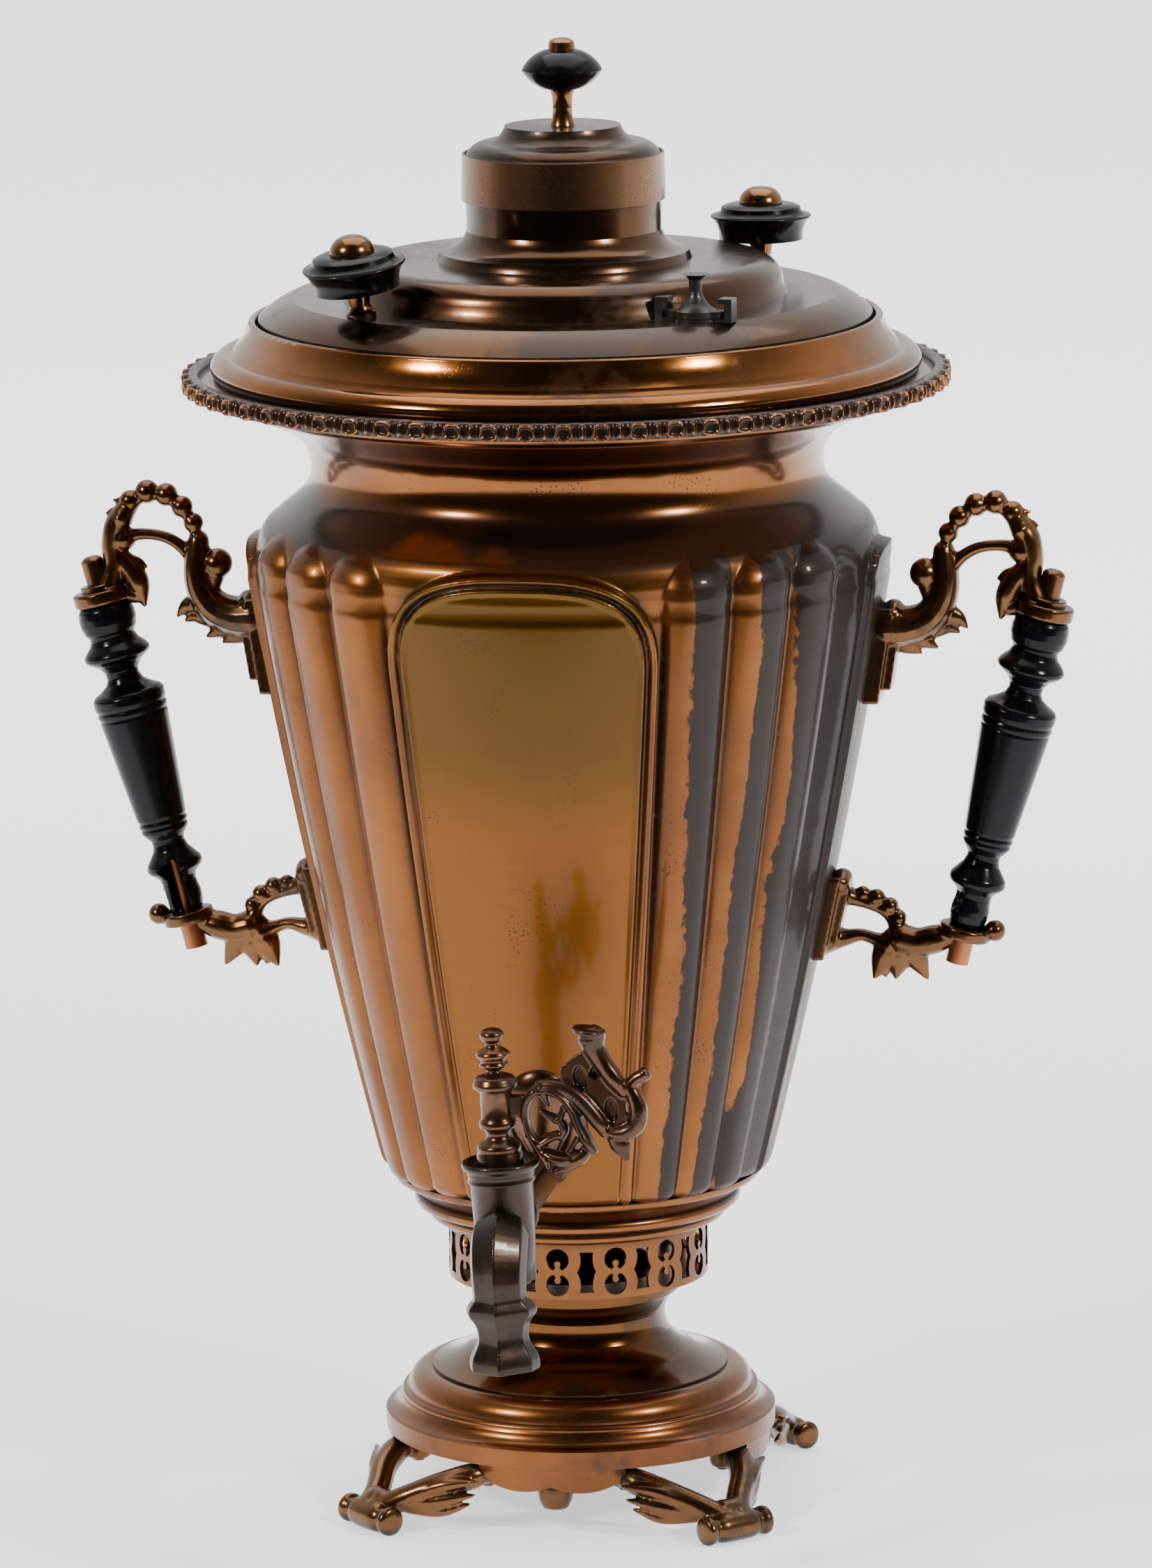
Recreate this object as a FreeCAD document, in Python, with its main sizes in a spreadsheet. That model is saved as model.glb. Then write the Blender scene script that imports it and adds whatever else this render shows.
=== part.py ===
import FreeCAD, Part
import math
import os
import Sketcher
from FreeCAD import Placement, Rotation, Vector

# Charcoal samovar with a fluted vase body on a footed plinth, in millimetres.
# The origin is on the table under the body's axis, +Z is up and the tap points along -Y.

document = FreeCAD.newDocument("Samovar")
sheet = document.addObject("Spreadsheet::Sheet", "Sizes")

SIZES = """
sheet_wall 1.2
seat_gap 0.2
solder_gap 0.02
running_gap 0.04
slip_gap 0.15
dome_flat 0.5
foot_circle 90.5
toe_radius 5.2
toe_length 28
toe_sink 0.3
wing_spread 21
wing_radius 4.3
foot_pad_radius 4.6
foot_pad_circle 59
rivet_radius 1.5
rivet_head 2.8
rivet_head_height 1.2
rivet_head_sink 0.7
plinth_bottom 24
plinth_radius 68.5
plinth_band 6.4
plinth_bead_radius 62.8
plinth_torus_radius 60.5
plinth_top 45.2
plinth_top_radius 52.2
plinth_bore 48
skirt_drop 8.7
skirt_span 44
stud_radius 6
stud_tip_radius 4.4
stud_drop 16.3
stud_circle 56
neck_radius 30
neck_height 33.6
neck_lip_radius 36
gallery_radius 45.5
gallery_height 19.4
gallery_wall 1.3
gallery_figures 14
figure_hole 3.5
figure_pitch 7.6
figure_nib 1.05
slot_half_width 2.9
slot_half_height 7.2
gallery_bore 30
body_foot_height 18.6
body_foot_radius 64.6
roll_one_radius 57
roll_two_radius 52
waist_height 233
neck_low_height 250
crest_top 115
crest_middle 93.6
crest_foot 66.1
flute_top 6
flute_middle 4.3
flute_foot 2.4
panel_half_angle 26.5
side_half_angle 22.3
side_strip_angle 11
panel_sink 1.6
border_height 1.5
border_width 5
border_half_top 45.5
border_half_foot 27
border_shoulder 200
border_crown 224
throat_radius 88.5
flare_radius 126.5
flare_height 275.5
rim_upstand 3.1
rim_radius 129.6
bead_radius 2.75
bead_count 66
rim_core_radius 2
plate_roll_radius 122.4
plate_roll_height 6.2
plate_ridge_radius 113.8
plate_ridge_height 12
plate_lip_radius 109.2
plate_lip_height 21
plate_mouth_radius 106.5
lid_ledge_width 6
lid_ledge_height 16.5
lid_gap 0.8
lid_step_radius 94.3
lid_step_height 12.4
lid_rise_radius 75.1
lid_rise_height 17.4
lid_crown_radius 67
lid_crown_height 24.3
collar_foot_radius 43.1
collar_foot_height 27.3
collar_radius 33.6
collar_height 58.8
lid_skirt_radius 99.5
lid_skirt_drop 9
tube_foot_radius 40
tube_waist_radius 30
tube_gap_below_cap 6
grate_radius 37.5
grate_thick 4
grate_slot 5
cap_clear 0.3
cap_band_height 15
cap_shoulder_radius 26
cap_top_radius 20
cap_rise 10
cap_stem_radius 4.3
cap_stem_waist 3.5
cap_stem_height 12
cap_knob_radius 13.9
cap_knob_height 14
cap_button_radius 4.7
cap_button_height 4
knob_circle 88
knob_azimuth 42
knob_lean 9
knob_stem_radius 5
knob_stem_waist 3.4
knob_stem_height 10.2
knob_radius 17.3
knob_foot_radius 14.6
knob_height 12.6
knob_nut_radius 7.6
knob_nut_height 5.6
knob_spigot 2
vent_circle 86
vent_azimuth 40
vent_turn 10
vent_base_radius 8
vent_reach 13.6
vent_ear_height 8
vent_ear_thick 2.6
vent_plate 1.2
vent_cover 2.2
vent_lobe_reach 10.6
vent_lobe_radius 3.4
vent_bar_width 6
vent_hole_circle 5.6
vent_knob_radius 5
vent_knob_height 14.5
vent_hole 3
grip_top_x 165.5
grip_top_z 316
grip_foot_x 137
grip_foot_z 202.5
eye_radius 10
eye_thick 5
lower_eye_radius 9
lower_eye_thick 4.4
rod_radius 2
rod_head_radius 4
rod_head_length 9
washer_radius 6.6
washer_thick 2
acorn_radius 4
acorn_height 10
grip_end_gap 0.2
grip_cushion 9.6
grip_ring 11.4
grip_neck 5.8
grip_shoulder 12.7
grip_waist 8
grip_flare 9.7
grip_tail 6.6
grip_break 15
pad_width 17
pad_thick 3.7
pad_step 3
upper_pad_top 317
upper_pad_bottom 283
lower_pad_top 222
lower_pad_bottom 193
arm_radius 3.4
strut_radius 2
bracket_bead 3.4
tap_reach 150
tap_height 132
tap_lean 3
shank_radius 7
shank_bore 4
shank_end 58
lip_radius 12.4
barrel_radius 10.6
barrel_foot_radius 9.5
barrel_top 19.5
barrel_foot 19
plug_top_radius 6.6
plug_foot_radius 5.4
spool_radius 5.35
key_flange_radius 7.5
finial_radius 6
finial_ball 4.1
lever_thick 4.4
lever_reach 50
spout_reach 17.5
spout_drop 45.5
mouth_half 12
collar_half 12
spout_half 9.3
lock_nut_radius 11
lock_nut_thick 5
gasket_radius 11.5
escutcheon_half_width 16.4
escutcheon_half_height 23
escutcheon_centre 146.7
escutcheon_depth 7
end_nut_radius 4.6
end_nut_height 4
plug_washer_radius 7.5
plug_washer_thick 1.2
"""


class Length:
    """A number that remembers the sheet expression it was worked out from."""

    def __init__(self, value, text):
        self.value = float(value)
        self.text = text

    def join(self, other, sign, swap=False):
        a, b = self, as_length(other)
        if swap:
            a, b = b, a
        value = {
            "+": lambda: a.value + b.value,
            "-": lambda: a.value - b.value,
            "*": lambda: a.value * b.value,
            "/": lambda: a.value / b.value,
        }[sign]()
        return Length(value, "(%s %s %s)" % (a.text, sign, b.text))

    def __add__(self, other):
        return self.join(other, "+")

    def __radd__(self, other):
        return self.join(other, "+", True)

    def __sub__(self, other):
        return self.join(other, "-")

    def __rsub__(self, other):
        return self.join(other, "-", True)

    def __mul__(self, other):
        return self.join(other, "*")

    def __rmul__(self, other):
        return self.join(other, "*", True)

    def __truediv__(self, other):
        return self.join(other, "/")

    def __neg__(self):
        return self.join(-1, "*")

    def __float__(self):
        return self.value


def as_length(number):
    if isinstance(number, Length):
        return number
    return Length(number, "%.6g" % number)


def root(number):
    return Length(math.sqrt(number.value), "sqrt(%s)" % number.text)


class Named:
    """The driving sizes, one attribute for each row of the sheet."""


size = Named()
for row, line in enumerate(SIZES.strip().splitlines(), start=1):
    name, number = line.split()
    sheet.set("A%d" % row, name)
    sheet.set("B%d" % row, number)
    sheet.setAlias("B%d" % row, name)
document.recompute()
for line in SIZES.strip().splitlines():
    name = line.split()[0]
    setattr(size, name, Length(sheet.get(name), "Sizes.%s" % name))

nodes = []


def keep(item, label):
    """Give a finished sub-part its own label, which names its file."""
    item.Label = label
    nodes.append(item)
    return item


def solid_node(label, shape, placement=None):
    """A sub-part whose shape is made with the modelling functions."""
    item = document.addObject("Part::Feature", label)
    item.Shape = shape
    if placement:
        item.Placement = placement.multiply(item.Placement)
    return keep(item, label)


def helper(name, shape):
    item = document.addObject("Part::Feature", name)
    item.Shape = shape
    return item


def origin_plane(body, role):
    return [item for item in body.Origin.OriginFeatures if item.Role == role][0]


def draw(body, name, outline):
    """Closed sketch on the body's XZ plane. Each corner is (x, z) or (x, z, bulge).

    A bulge makes the edge that ends at that corner an arc: it is the arc's rise over
    half its chord, positive to the left of the way the outline runs.
    """
    sketch = body.newObject("Sketcher::SketchObject", name)
    sketch.AttachmentSupport = (origin_plane(body, "XZ_Plane"), [""])
    sketch.MapMode = "FlatFace"
    corners = [(as_length(c[0]), as_length(c[1])) for c in outline]
    bulges = [c[2] if len(c) > 2 else 0 for c in outline]
    geometry = []
    rules = []
    for i, (end, bulge) in enumerate(zip(corners, bulges)):
        start = corners[i - 1]
        a = Vector(start[0].value, start[1].value, 0)
        b = Vector(end[0].value, end[1].value, 0)
        if bulge:
            chord = b - a
            middle = (a + b) / 2 + Vector(-chord.y, chord.x, 0) * (bulge / 2)
            geometry.append(Part.Arc(a, middle, b))
            run = end[0] - start[0]
            climb = end[1] - start[1]
            factor = (1 + bulge * bulge) / (4 * abs(bulge))
            rules.append((i, root(run * run + climb * climb) * factor))
        else:
            geometry.append(Part.LineSegment(a, b))
    sketch.addGeometry(geometry, False)
    constraints = []
    for i, corner in enumerate(corners):
        following = (i + 1) % len(corners)
        point = end_of(sketch, i, corner)
        next_point = end_of(sketch, following, corner)
        constraints.append((Sketcher.Constraint("Coincident", i, point, following, next_point), None))
    for i, corner in enumerate(corners):
        point = end_of(sketch, i, corner)
        for kind, number in (("DistanceX", corner[0]), ("DistanceY", corner[1])):
            constraints.append((Sketcher.Constraint(kind, -1, 1, i, point, number.value), number.text))
    for i, radius in rules:
        constraints.append((Sketcher.Constraint("Radius", i, radius.value), radius.text))
    sketch.addConstraint([rule for rule, _ in constraints])
    for i, (_, expression) in enumerate(constraints):
        if expression:
            sketch.setExpression("Constraints[%d]" % i, expression)
    return sketch


def end_of(sketch, index, corner):
    """Which end of an edge lies on a corner: 1 is its start and 2 its end."""
    target = Vector(corner[0].value, corner[1].value, 0)
    start = sketch.getPoint(index, 1)
    end = sketch.getPoint(index, 2)
    return 1 if (start - target).Length < (end - target).Length else 2


def turned(label, outline, placement=None):
    """A turned or spun piece: the outline runs round in (radius, height) and spins about Z."""
    body = document.addObject("PartDesign::Body", label)
    sketch = draw(body, label + "_outline", outline)
    spin = body.newObject("PartDesign::Revolution", label + "_spin")
    spin.Profile = sketch
    spin.ReferenceAxis = (sketch, ["V_Axis"])
    spin.Angle = 360
    document.recompute()
    body.Label = label
    if placement:
        body.Placement = placement
    return body


def turned_node(label, outline, placement=None):
    return keep(turned(label, outline, placement), label)


def cut_node(label, base, tool):
    """A sub-part made by cutting one object with another."""
    cut = document.addObject("Part::Cut", label)
    cut.Base = base
    cut.Tool = tool
    document.recompute()
    return keep(cut, label)


def tube(centres, radii):
    """A smooth bar of changing thickness through points that lie in one plane y = constant."""
    rings = []
    for i, centre in enumerate(centres):
        back = centres[max(i - 1, 0)]
        ahead = centres[min(i + 1, len(centres) - 1)]
        way = (ahead - back).normalize()
        rings.append(Part.Wire(Part.makeCircle(radii[i], centre, way)))
    return Part.makeLoft(rings, True, False)


def ball(centre, radius):
    return Part.makeSphere(radius, centre)


def prism(points, start, depth):
    """A straight-sided plate: the points lie in a plane, and depth is a vector out of it."""
    corners = [point + start for point in points]
    face = Part.Face(Part.makePolygon(corners + corners[:1]))
    return face.extrude(depth)


def fuse(first, others):
    result = first.fuse(others) if others else first
    return result.removeSplitter()


def along(azimuth, radius, height):
    """The point at an azimuth from the tap's direction, positive towards +X."""
    angle = math.radians(azimuth)
    return Vector(radius * math.sin(angle), -radius * math.cos(angle), height)


# Heights up the stack, each worked out from the piece below it
wall = size.sheet_wall
neck_top = size.plinth_top + size.neck_height
gallery_top = neck_top + size.gallery_height
datum = gallery_top + size.body_foot_height
rim_level = datum + size.flare_height + size.rim_upstand
ledge = rim_level + size.lid_ledge_height
lid_low = ledge + size.seat_gap
collar_top = lid_low + size.collar_height

# Base plinth: a spun sheet with a torus, a bead, a cove and a flat band, and a scalloped skirt
band_top = size.plinth_bottom + size.plinth_band
plinth_outer = [
    (size.plinth_bore, size.plinth_top),
    (size.plinth_top_radius, size.plinth_top),
    (size.plinth_torus_radius, size.plinth_top - 6.6, 0.42),
    (size.plinth_torus_radius + 0.6, size.plinth_top - 7.2),
    (size.plinth_bead_radius, size.plinth_top - 9.2, 0.5),
    (size.plinth_bead_radius + 0.4, size.plinth_top - 10),
    (size.plinth_radius - 1, band_top + 0.6, -0.3),
    (size.plinth_radius, band_top),
    (size.plinth_radius, size.plinth_bottom),
    (size.plinth_bore, size.plinth_bottom),
]
plinth_inner = [
    (size.plinth_bore, size.plinth_bottom + size.sheet_wall),
    (size.plinth_radius - size.sheet_wall, size.plinth_bottom + size.sheet_wall),
    (size.plinth_radius - size.sheet_wall, band_top - size.sheet_wall),
    (size.plinth_bead_radius - wall * 2, size.plinth_top - 10.6),
    (size.plinth_torus_radius - wall * 2, size.plinth_top - 6),
    (size.plinth_top_radius - wall, size.plinth_top - wall),
    (size.plinth_bore, size.plinth_top - size.sheet_wall),
]
plinth_body = turned("plinth_shell", plinth_outer + plinth_inner)
skirt_body = turned("plinth_skirt", [
    (size.plinth_radius - 4, size.plinth_bottom + wall / 2),
    (size.plinth_radius - 4, size.plinth_bottom - size.skirt_drop),
    (size.plinth_radius - 2, size.plinth_bottom - size.skirt_drop),
    (size.plinth_radius - 0.6, size.plinth_bottom + wall / 2),
])


def skirt_lobes():
    """What stays of the skirt: four aprons between the feet, each with two hanging lobes."""
    drop = size.skirt_drop.value
    top = size.plinth_bottom.value + 1
    reach = size.plinth_radius.value
    wide = reach * math.sin(math.radians(size.skirt_span.value / 2))
    low = size.plinth_bottom.value - drop
    aprons = []
    for quarter in range(4):
        corners = [
            Vector(-wide, 0, top),
            Vector(-wide, 0, low + drop * 0.55),
            Vector(0, 0, low + drop * 0.25),
            Vector(wide, 0, low + drop * 0.55),
            Vector(wide, 0, top),
        ]
        dips = [Vector(-wide * 0.42, 0, low), Vector(wide * 0.42, 0, low)]
        edges = [
            Part.makeLine(corners[0], corners[1]),
            Part.Arc(corners[1], dips[0], corners[2]).toShape(),
            Part.Arc(corners[2], dips[1], corners[3]).toShape(),
            Part.makeLine(corners[3], corners[4]),
            Part.makeLine(corners[4], corners[0]),
        ]
        apron = Part.Face(Part.Wire(edges)).extrude(Vector(0, -reach - 5, 0))
        apron.rotate(Vector(), Vector(0, 0, 1), 90 * quarter)
        aprons.append(apron)
    return aprons


skirt = [skirt_body.Shape.common(apron) for apron in skirt_lobes()]

# Feet: each is one casting with a rolled toe and two leafy wings, riveted under the plinth
pad_top = size.plinth_bottom
foot_names = {45: "foot_front_right", 135: "foot_back_right", 225: "foot_back_left", 315: "foot_front_left"}


def pad_places(foot):
    """The centres of a foot's two pads, under the plinth's bottom flange."""
    spread = size.wing_spread.value
    radius = size.foot_pad_circle.value
    return [along(foot + side * spread, radius, 0) for side in (-1, 1)]


def foot_shape():
    """One foot, pointing along -Y."""
    circle = size.foot_circle.value
    radius = size.toe_radius.value
    height = radius - size.toe_sink.value
    half = size.toe_length.value / 2
    half_rings = [(0.4, 1.0), (0.66, 0.8), (0.8, 1.0), (1.0, 0.94)]
    rings = [(-step, share) for step, share in reversed(half_rings)] + half_rings
    outline = [Vector(-half, 0, 0)]
    outline += [Vector(half * step, 0, radius * share) for step, share in rings]
    outline.append(Vector(half, 0, 0))
    face = Part.Face(Part.makePolygon(outline + outline[:1]))
    toe = face.revolve(Vector(), Vector(1, 0, 0), 360)
    toe.translate(Vector(0, -circle, height))
    pieces = []
    top = pad_top.value
    bar = size.wing_radius.value
    pad = size.foot_pad_radius.value
    for side, place in zip((-1, 1), pad_places(0)):
        out = place.x
        inward = -place.y
        centres = [
            Vector(side * 1.5, -circle + 1.0, height + 1.5),
            Vector(out * 0.32, -circle + 9, height + 6.5),
            Vector(out * 0.72, -circle + 17, top - bar * 1.5),
            Vector(out * 1.12, -(inward + 6.5), top - bar * 1.25),
        ]
        pieces.append(tube(centres, [bar * 1.1, bar * 0.95, bar, bar * 0.8]))
        leaf = [
            centres[1] + Vector(0, 0, -1),
            centres[2] + Vector(side * 1, -3, -4),
            centres[3] + Vector(side * 2, -2, -5),
        ]
        pieces.append(tube(leaf, [bar * 0.7, bar * 0.75, bar * 0.3]))
        pieces.append(Part.makeCylinder(pad, bar * 2, Vector(place.x, place.y, top - bar * 2)))
        neck = [centres[3] + Vector(0, 0, 0.2), Vector(place.x, place.y, top - bar)]
        pieces.append(tube(neck, [bar * 0.8, bar * 0.9]))
    shape = fuse(toe, pieces)
    below = Part.makeBox(400, 400, 40, Vector(-200, -200, -40))
    above = Part.makeBox(400, 400, 40, Vector(-200, -200, top))
    shape = shape.cut([below, above])
    holes = []
    for place in pad_places(0):
        bore_radius = size.rivet_radius.value + size.slip_gap.value
        holes.append(Part.makeCylinder(bore_radius, 40, Vector(place.x, place.y, 0)))
    inside = Part.makeCylinder(size.plinth_radius.value - 4, 200, Vector(0, 0, -100))
    for apron in skirt_lobes():
        apron.rotate(Vector(), Vector(0, 0, 1), -45)
        holes.append(apron.cut(inside))
    return shape.cut(holes)


foot = foot_shape()
for azimuth, name in foot_names.items():
    turned_foot = foot.copy()
    turned_foot.rotate(Vector(), Vector(0, 0, 1), azimuth)
    solid_node(name, turned_foot)

rivet_holes = []
rivets = []
rivet = size.rivet_radius.value
head = size.rivet_head.value
head_height = size.rivet_head_height.value
head_sink = size.rivet_head_sink.value
clinch_low = pad_top.value - size.wing_radius.value * 2
clinch_high = pad_top.value + size.sheet_wall.value
shaft_length = clinch_high - clinch_low + 2 * head_sink
for azimuth in foot_names:
    for place in pad_places(azimuth):
        below = place + Vector(0, 0, clinch_low)
        above = place + Vector(0, 0, clinch_high)
        hole_foot = place + Vector(0, 0, pad_top.value - 2)
        rivet_holes.append(Part.makeCylinder(rivet + size.slip_gap.value, 6, hole_foot))
        shaft = Part.makeCylinder(rivet, shaft_length, below - Vector(0, 0, head_sink))
        under = Part.makeCone(head * 0.7, head, head_height, below - Vector(0, 0, head_height))
        over = Part.makeCone(head, head * 0.7, head_height, above)
        rivets.append(fuse(shaft, [under, over]))
solid_node("foot_rivets", Part.makeCompound(rivets))

solid_node("base_plinth", plinth_body.Shape.fuse(skirt).cut(rivet_holes))

# Base stud: a short tapered stud that hangs from the plinth's flange under the tap
stud = turned_node("base_stud", [
    (0, size.plinth_bottom),
    (0, size.plinth_bottom - size.stud_drop),
    (size.stud_tip_radius, size.plinth_bottom - size.stud_drop),
    (size.stud_radius, size.plinth_bottom - size.stud_drop * 0.5, -0.2),
    (size.stud_radius, size.plinth_bottom),
])
stud.setExpression("Placement.Base.y", "-Sizes.stud_circle")

# Pedestal neck: the spun waist between the plinth and the air gallery
neck_low = size.plinth_top
neck_outer = [
    (size.gallery_bore, neck_top),
    (size.neck_lip_radius, neck_top),
    (size.neck_lip_radius - 0.6, neck_top - 5.9, 0.1),
    (size.neck_radius + 0.2, neck_top - 13.4, -0.2),
    (size.neck_radius + 1.6, neck_low + 12.6, -0.16),
    (size.neck_radius + 10, neck_low + 5.8, -0.14),
    (size.plinth_top_radius - 0.4, neck_low + 0.9, -0.08),
    (size.plinth_top_radius - 0.4, neck_low),
    (size.plinth_bore + 0.4, neck_low),
    (size.neck_radius + 9, neck_low + 4.8),
    (size.neck_radius, neck_low + 12),
    (size.neck_radius - wall, neck_low + 19.6),
    (size.neck_lip_radius - wall * 1.7, neck_top - 6),
    (size.neck_lip_radius - wall * 1.4, neck_top - wall),
    (size.gallery_bore, neck_top - wall),
]
turned_node("pedestal_neck", neck_outer)

# Air gallery: a pierced band over a floor ring, with figures of two stacked rounds and cusped slots
turned_node("gallery_floor", [
    (size.gallery_bore, neck_top),
    (size.gallery_radius - size.gallery_wall - size.solder_gap, neck_top),
    (size.gallery_radius - size.gallery_wall - size.solder_gap, neck_top + size.gallery_wall),
    (size.gallery_bore, neck_top + size.gallery_wall),
])
band = turned("gallery_band", [
    (size.gallery_radius - size.gallery_wall, neck_top),
    (size.gallery_radius, neck_top),
    (size.gallery_radius, gallery_top),
    (size.gallery_radius - size.gallery_wall, gallery_top),
])


def ring_with_nib(centre, radius, nib, way):
    """A round hole with a small round nib standing into it from one side."""
    edge = math.sqrt(radius * radius - nib * nib)
    left = centre + Vector(-nib, 0, way * edge)
    right = centre + Vector(nib, 0, way * edge)
    far = centre + Vector(0, 0, -way * radius)
    neck = Vector(0, 0, -way * nib * 0.7)
    tip = centre + Vector(0, 0, way * (edge - nib * 1.7))
    edges = [
        Part.Arc(left, far, right).toShape(),
        Part.makeLine(right, right + neck),
        Part.Arc(right + neck, tip, left + neck).toShape(),
        Part.makeLine(left + neck, left),
    ]
    return Part.Face(Part.Wire(edges))


def cusped_slot(centre, wide, tall):
    """A slot between two figures: hollow flanks that meet in cusps at the middle and the ends."""
    corners = [(-1, 1), (1, 1), (0.75, 0), (1, -1), (-1, -1), (-0.75, 0)]
    middles = [(0, 0.93), (0.5, 0.52), (0.5, -0.52), (0, -0.93), (-0.5, -0.52), (-0.5, 0.52)]
    points = [centre + Vector(x * wide, 0, z * tall) for x, z in corners]
    hollows = [centre + Vector(x * wide, 0, z * tall) for x, z in middles]
    edges = []
    for i, hollow_point in enumerate(hollows):
        edges.append(Part.Arc(points[i], hollow_point, points[(i + 1) % 6]).toShape())
    return Part.Face(Part.Wire(edges))


def gallery_holes():
    count = int(round(size.gallery_figures.value))
    reach = size.gallery_radius.value + 3
    middle = neck_top.value + size.gallery_height.value * 0.575
    pitch = size.figure_pitch.value
    cutters = []
    for i in range(count):
        turn = 360.0 * i / count
        for way in (-1, 1):
            centre = Vector(0, -reach, middle - way * pitch / 2)
            face = ring_with_nib(centre, size.figure_hole.value, size.figure_nib.value, way)
            hole = face.extrude(Vector(0, 12, 0))
            hole.rotate(Vector(), Vector(0, 0, 1), turn)
            cutters.append(hole)
        slot_middle = Vector(0, -reach, middle)
        slot = cusped_slot(slot_middle, size.slot_half_width.value, size.slot_half_height.value)
        hole = slot.extrude(Vector(0, 12, 0))
        hole.rotate(Vector(), Vector(0, 0, 1), turn + 180.0 / count)
        cutters.append(hole)
    return Part.makeCompound(cutters)


cut_node("air_gallery", band, helper("gallery_holes", gallery_holes()))

# Body foot: the stepped spun ring that closes the water vessel below, with the fire tube's seat
ring_outer = [
    (size.body_foot_radius, datum),
    (size.body_foot_radius - 1, datum - 2.6, 0.3),
    (size.roll_one_radius - 1.2, gallery_top + 10.6, -0.12),
    (size.roll_one_radius - 1.2, gallery_top + 6.2, 0.6),
    (size.roll_two_radius - 1, gallery_top + 5.6),
    (size.roll_two_radius - 1, gallery_top + 1.6, 0.6),
    (size.gallery_radius, gallery_top),
    (size.grate_radius - 2, gallery_top),
    (size.grate_radius - 2, gallery_top + wall),
    (size.tube_foot_radius - wall - size.solder_gap, gallery_top + wall),
    (size.tube_foot_radius - wall - size.solder_gap, gallery_top + wall * 2),
    (size.roll_two_radius - 4, gallery_top + wall * 2),
    (size.roll_one_radius - 4, gallery_top + 8),
    (size.body_foot_radius - wall, datum),
]
turned_node("body_foot_ring", ring_outer)

# Fire tube: a tapered pipe from the grate to just below the cap
tube_low = gallery_top + wall * 2
tube_top = collar_top - size.tube_gap_below_cap
tube_knee = datum + size.neck_low_height
turned_node("fire_tube", [
    (size.tube_foot_radius, tube_low),
    (size.tube_foot_radius, tube_low + 12),
    (size.tube_waist_radius, tube_knee),
    (size.tube_waist_radius, tube_top),
    (size.tube_waist_radius - wall, tube_top),
    (size.tube_waist_radius - wall, tube_knee),
    (size.tube_foot_radius - wall, tube_low + 12),
    (size.tube_foot_radius - wall, tube_low),
])

# Grate: a cast disc with slots, loose on the foot ring's inner lip
grate_disc = turned("grate_disc", [
    (0, gallery_top + wall),
    (size.grate_radius, gallery_top + wall),
    (size.grate_radius, gallery_top + wall + size.grate_thick),
    (0, gallery_top + wall + size.grate_thick),
])


def grate_slots():
    radius = size.grate_radius.value - 4
    slot = size.grate_slot.value
    step = slot * 2
    count = int(radius // step)
    cutters = []
    for i in range(-count, count + 1):
        half = math.sqrt(radius * radius - (abs(i * step) + slot / 2) ** 2)
        corner = Vector(i * step - slot / 2, -half, gallery_top.value - 5)
        cutters.append(Part.makeBox(slot, 2 * half, 30, corner))
    return Part.makeCompound(cutters)


cut_node("fire_grate", grate_disc, helper("grate_slots", grate_slots()))

# Body shell: a pressed sheet with upright flutes, front and back panels and plain side strips
loft_top = datum.value + size.waist_height.value + 1.0
loft_foot = datum.value - 6
loft_middle = (loft_top + loft_foot) / 2


def crest_at(height):
    """The body's crest radius at a height between the flutes' foot and top."""
    share = (height - loft_foot) / (loft_top - loft_foot)
    foot = size.crest_foot.value
    bend = 2 * (foot - 2 * size.crest_middle.value + size.crest_top.value)
    return foot + (size.crest_top.value - foot - bend) * share + bend * share * share


def fluted_ring(height, crest, depth, inset):
    """The body's cross-section at one height, as a closed wire of arcs."""
    valley = crest - depth - inset
    crown = crest - inset
    panel = crest - size.panel_sink.value - inset
    front = size.panel_half_angle.value
    side = 90 - size.side_half_angle.value
    strip = 90 - size.side_strip_angle.value
    pitch = (side - front) / 3
    quarter = [((0, panel), (front, valley))]
    for i in range(3):
        quarter.append(((front + (i + 0.5) * pitch, crown), (front + (i + 1) * pitch, valley)))
    quarter.append((((side + strip) / 2, (valley + crown) / 2 - depth * 0.15), (strip, crown)))
    edges = []

    def arc(a, b, c):
        edges.append(Part.Arc(along(*a, height), along(*b, height), along(*c, height)).toShape())

    for half in range(2):
        turn = 180 * half

        def at(angle, radius):
            return (angle + turn, radius)

        arc(at(-front, valley), at(0, panel), at(front, valley))
        last = (front, valley)
        for middle, end in quarter[1:]:
            arc(at(*last), at(*middle), at(*end))
            last = end
        arc(at(strip, crown), at(90, crown), at(180 - strip, crown))
        last = (180 - strip, crown)
        for index in range(len(quarter) - 1, 0, -1):
            middle, end = quarter[index]
            start = quarter[index - 1][1]
            target = (180 - start[0], start[1])
            arc(at(*last), at(180 - middle[0], middle[1]), at(*target))
            last = target
    return Part.Wire(edges)


def fluted_loft(inset):
    rings = [
        fluted_ring(loft_foot, size.crest_foot.value, size.flute_foot.value, inset),
        fluted_ring(loft_middle, size.crest_middle.value, size.flute_middle.value, inset),
        fluted_ring(loft_top, size.crest_top.value, size.flute_top.value, inset),
    ]
    return Part.makeLoft(rings, True, False)


def spun(outline):
    """A solid spun about Z from corners (radius, height), with an optional arc middle."""
    edges = []
    last = None
    for corner in outline:
        point = Vector(corner[0], 0, corner[1])
        if last is not None:
            if len(corner) > 2:
                edges.append(Part.Arc(last, Vector(corner[2], 0, corner[3]), point).toShape())
            else:
                edges.append(Part.LineSegment(last, point).toShape())
        last = point
    edges.append(Part.LineSegment(last, Vector(outline[0][0], 0, outline[0][1])).toShape())
    return Part.Face(Part.Wire(edges)).revolve(Vector(), Vector(0, 0, 1), 360)


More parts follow.
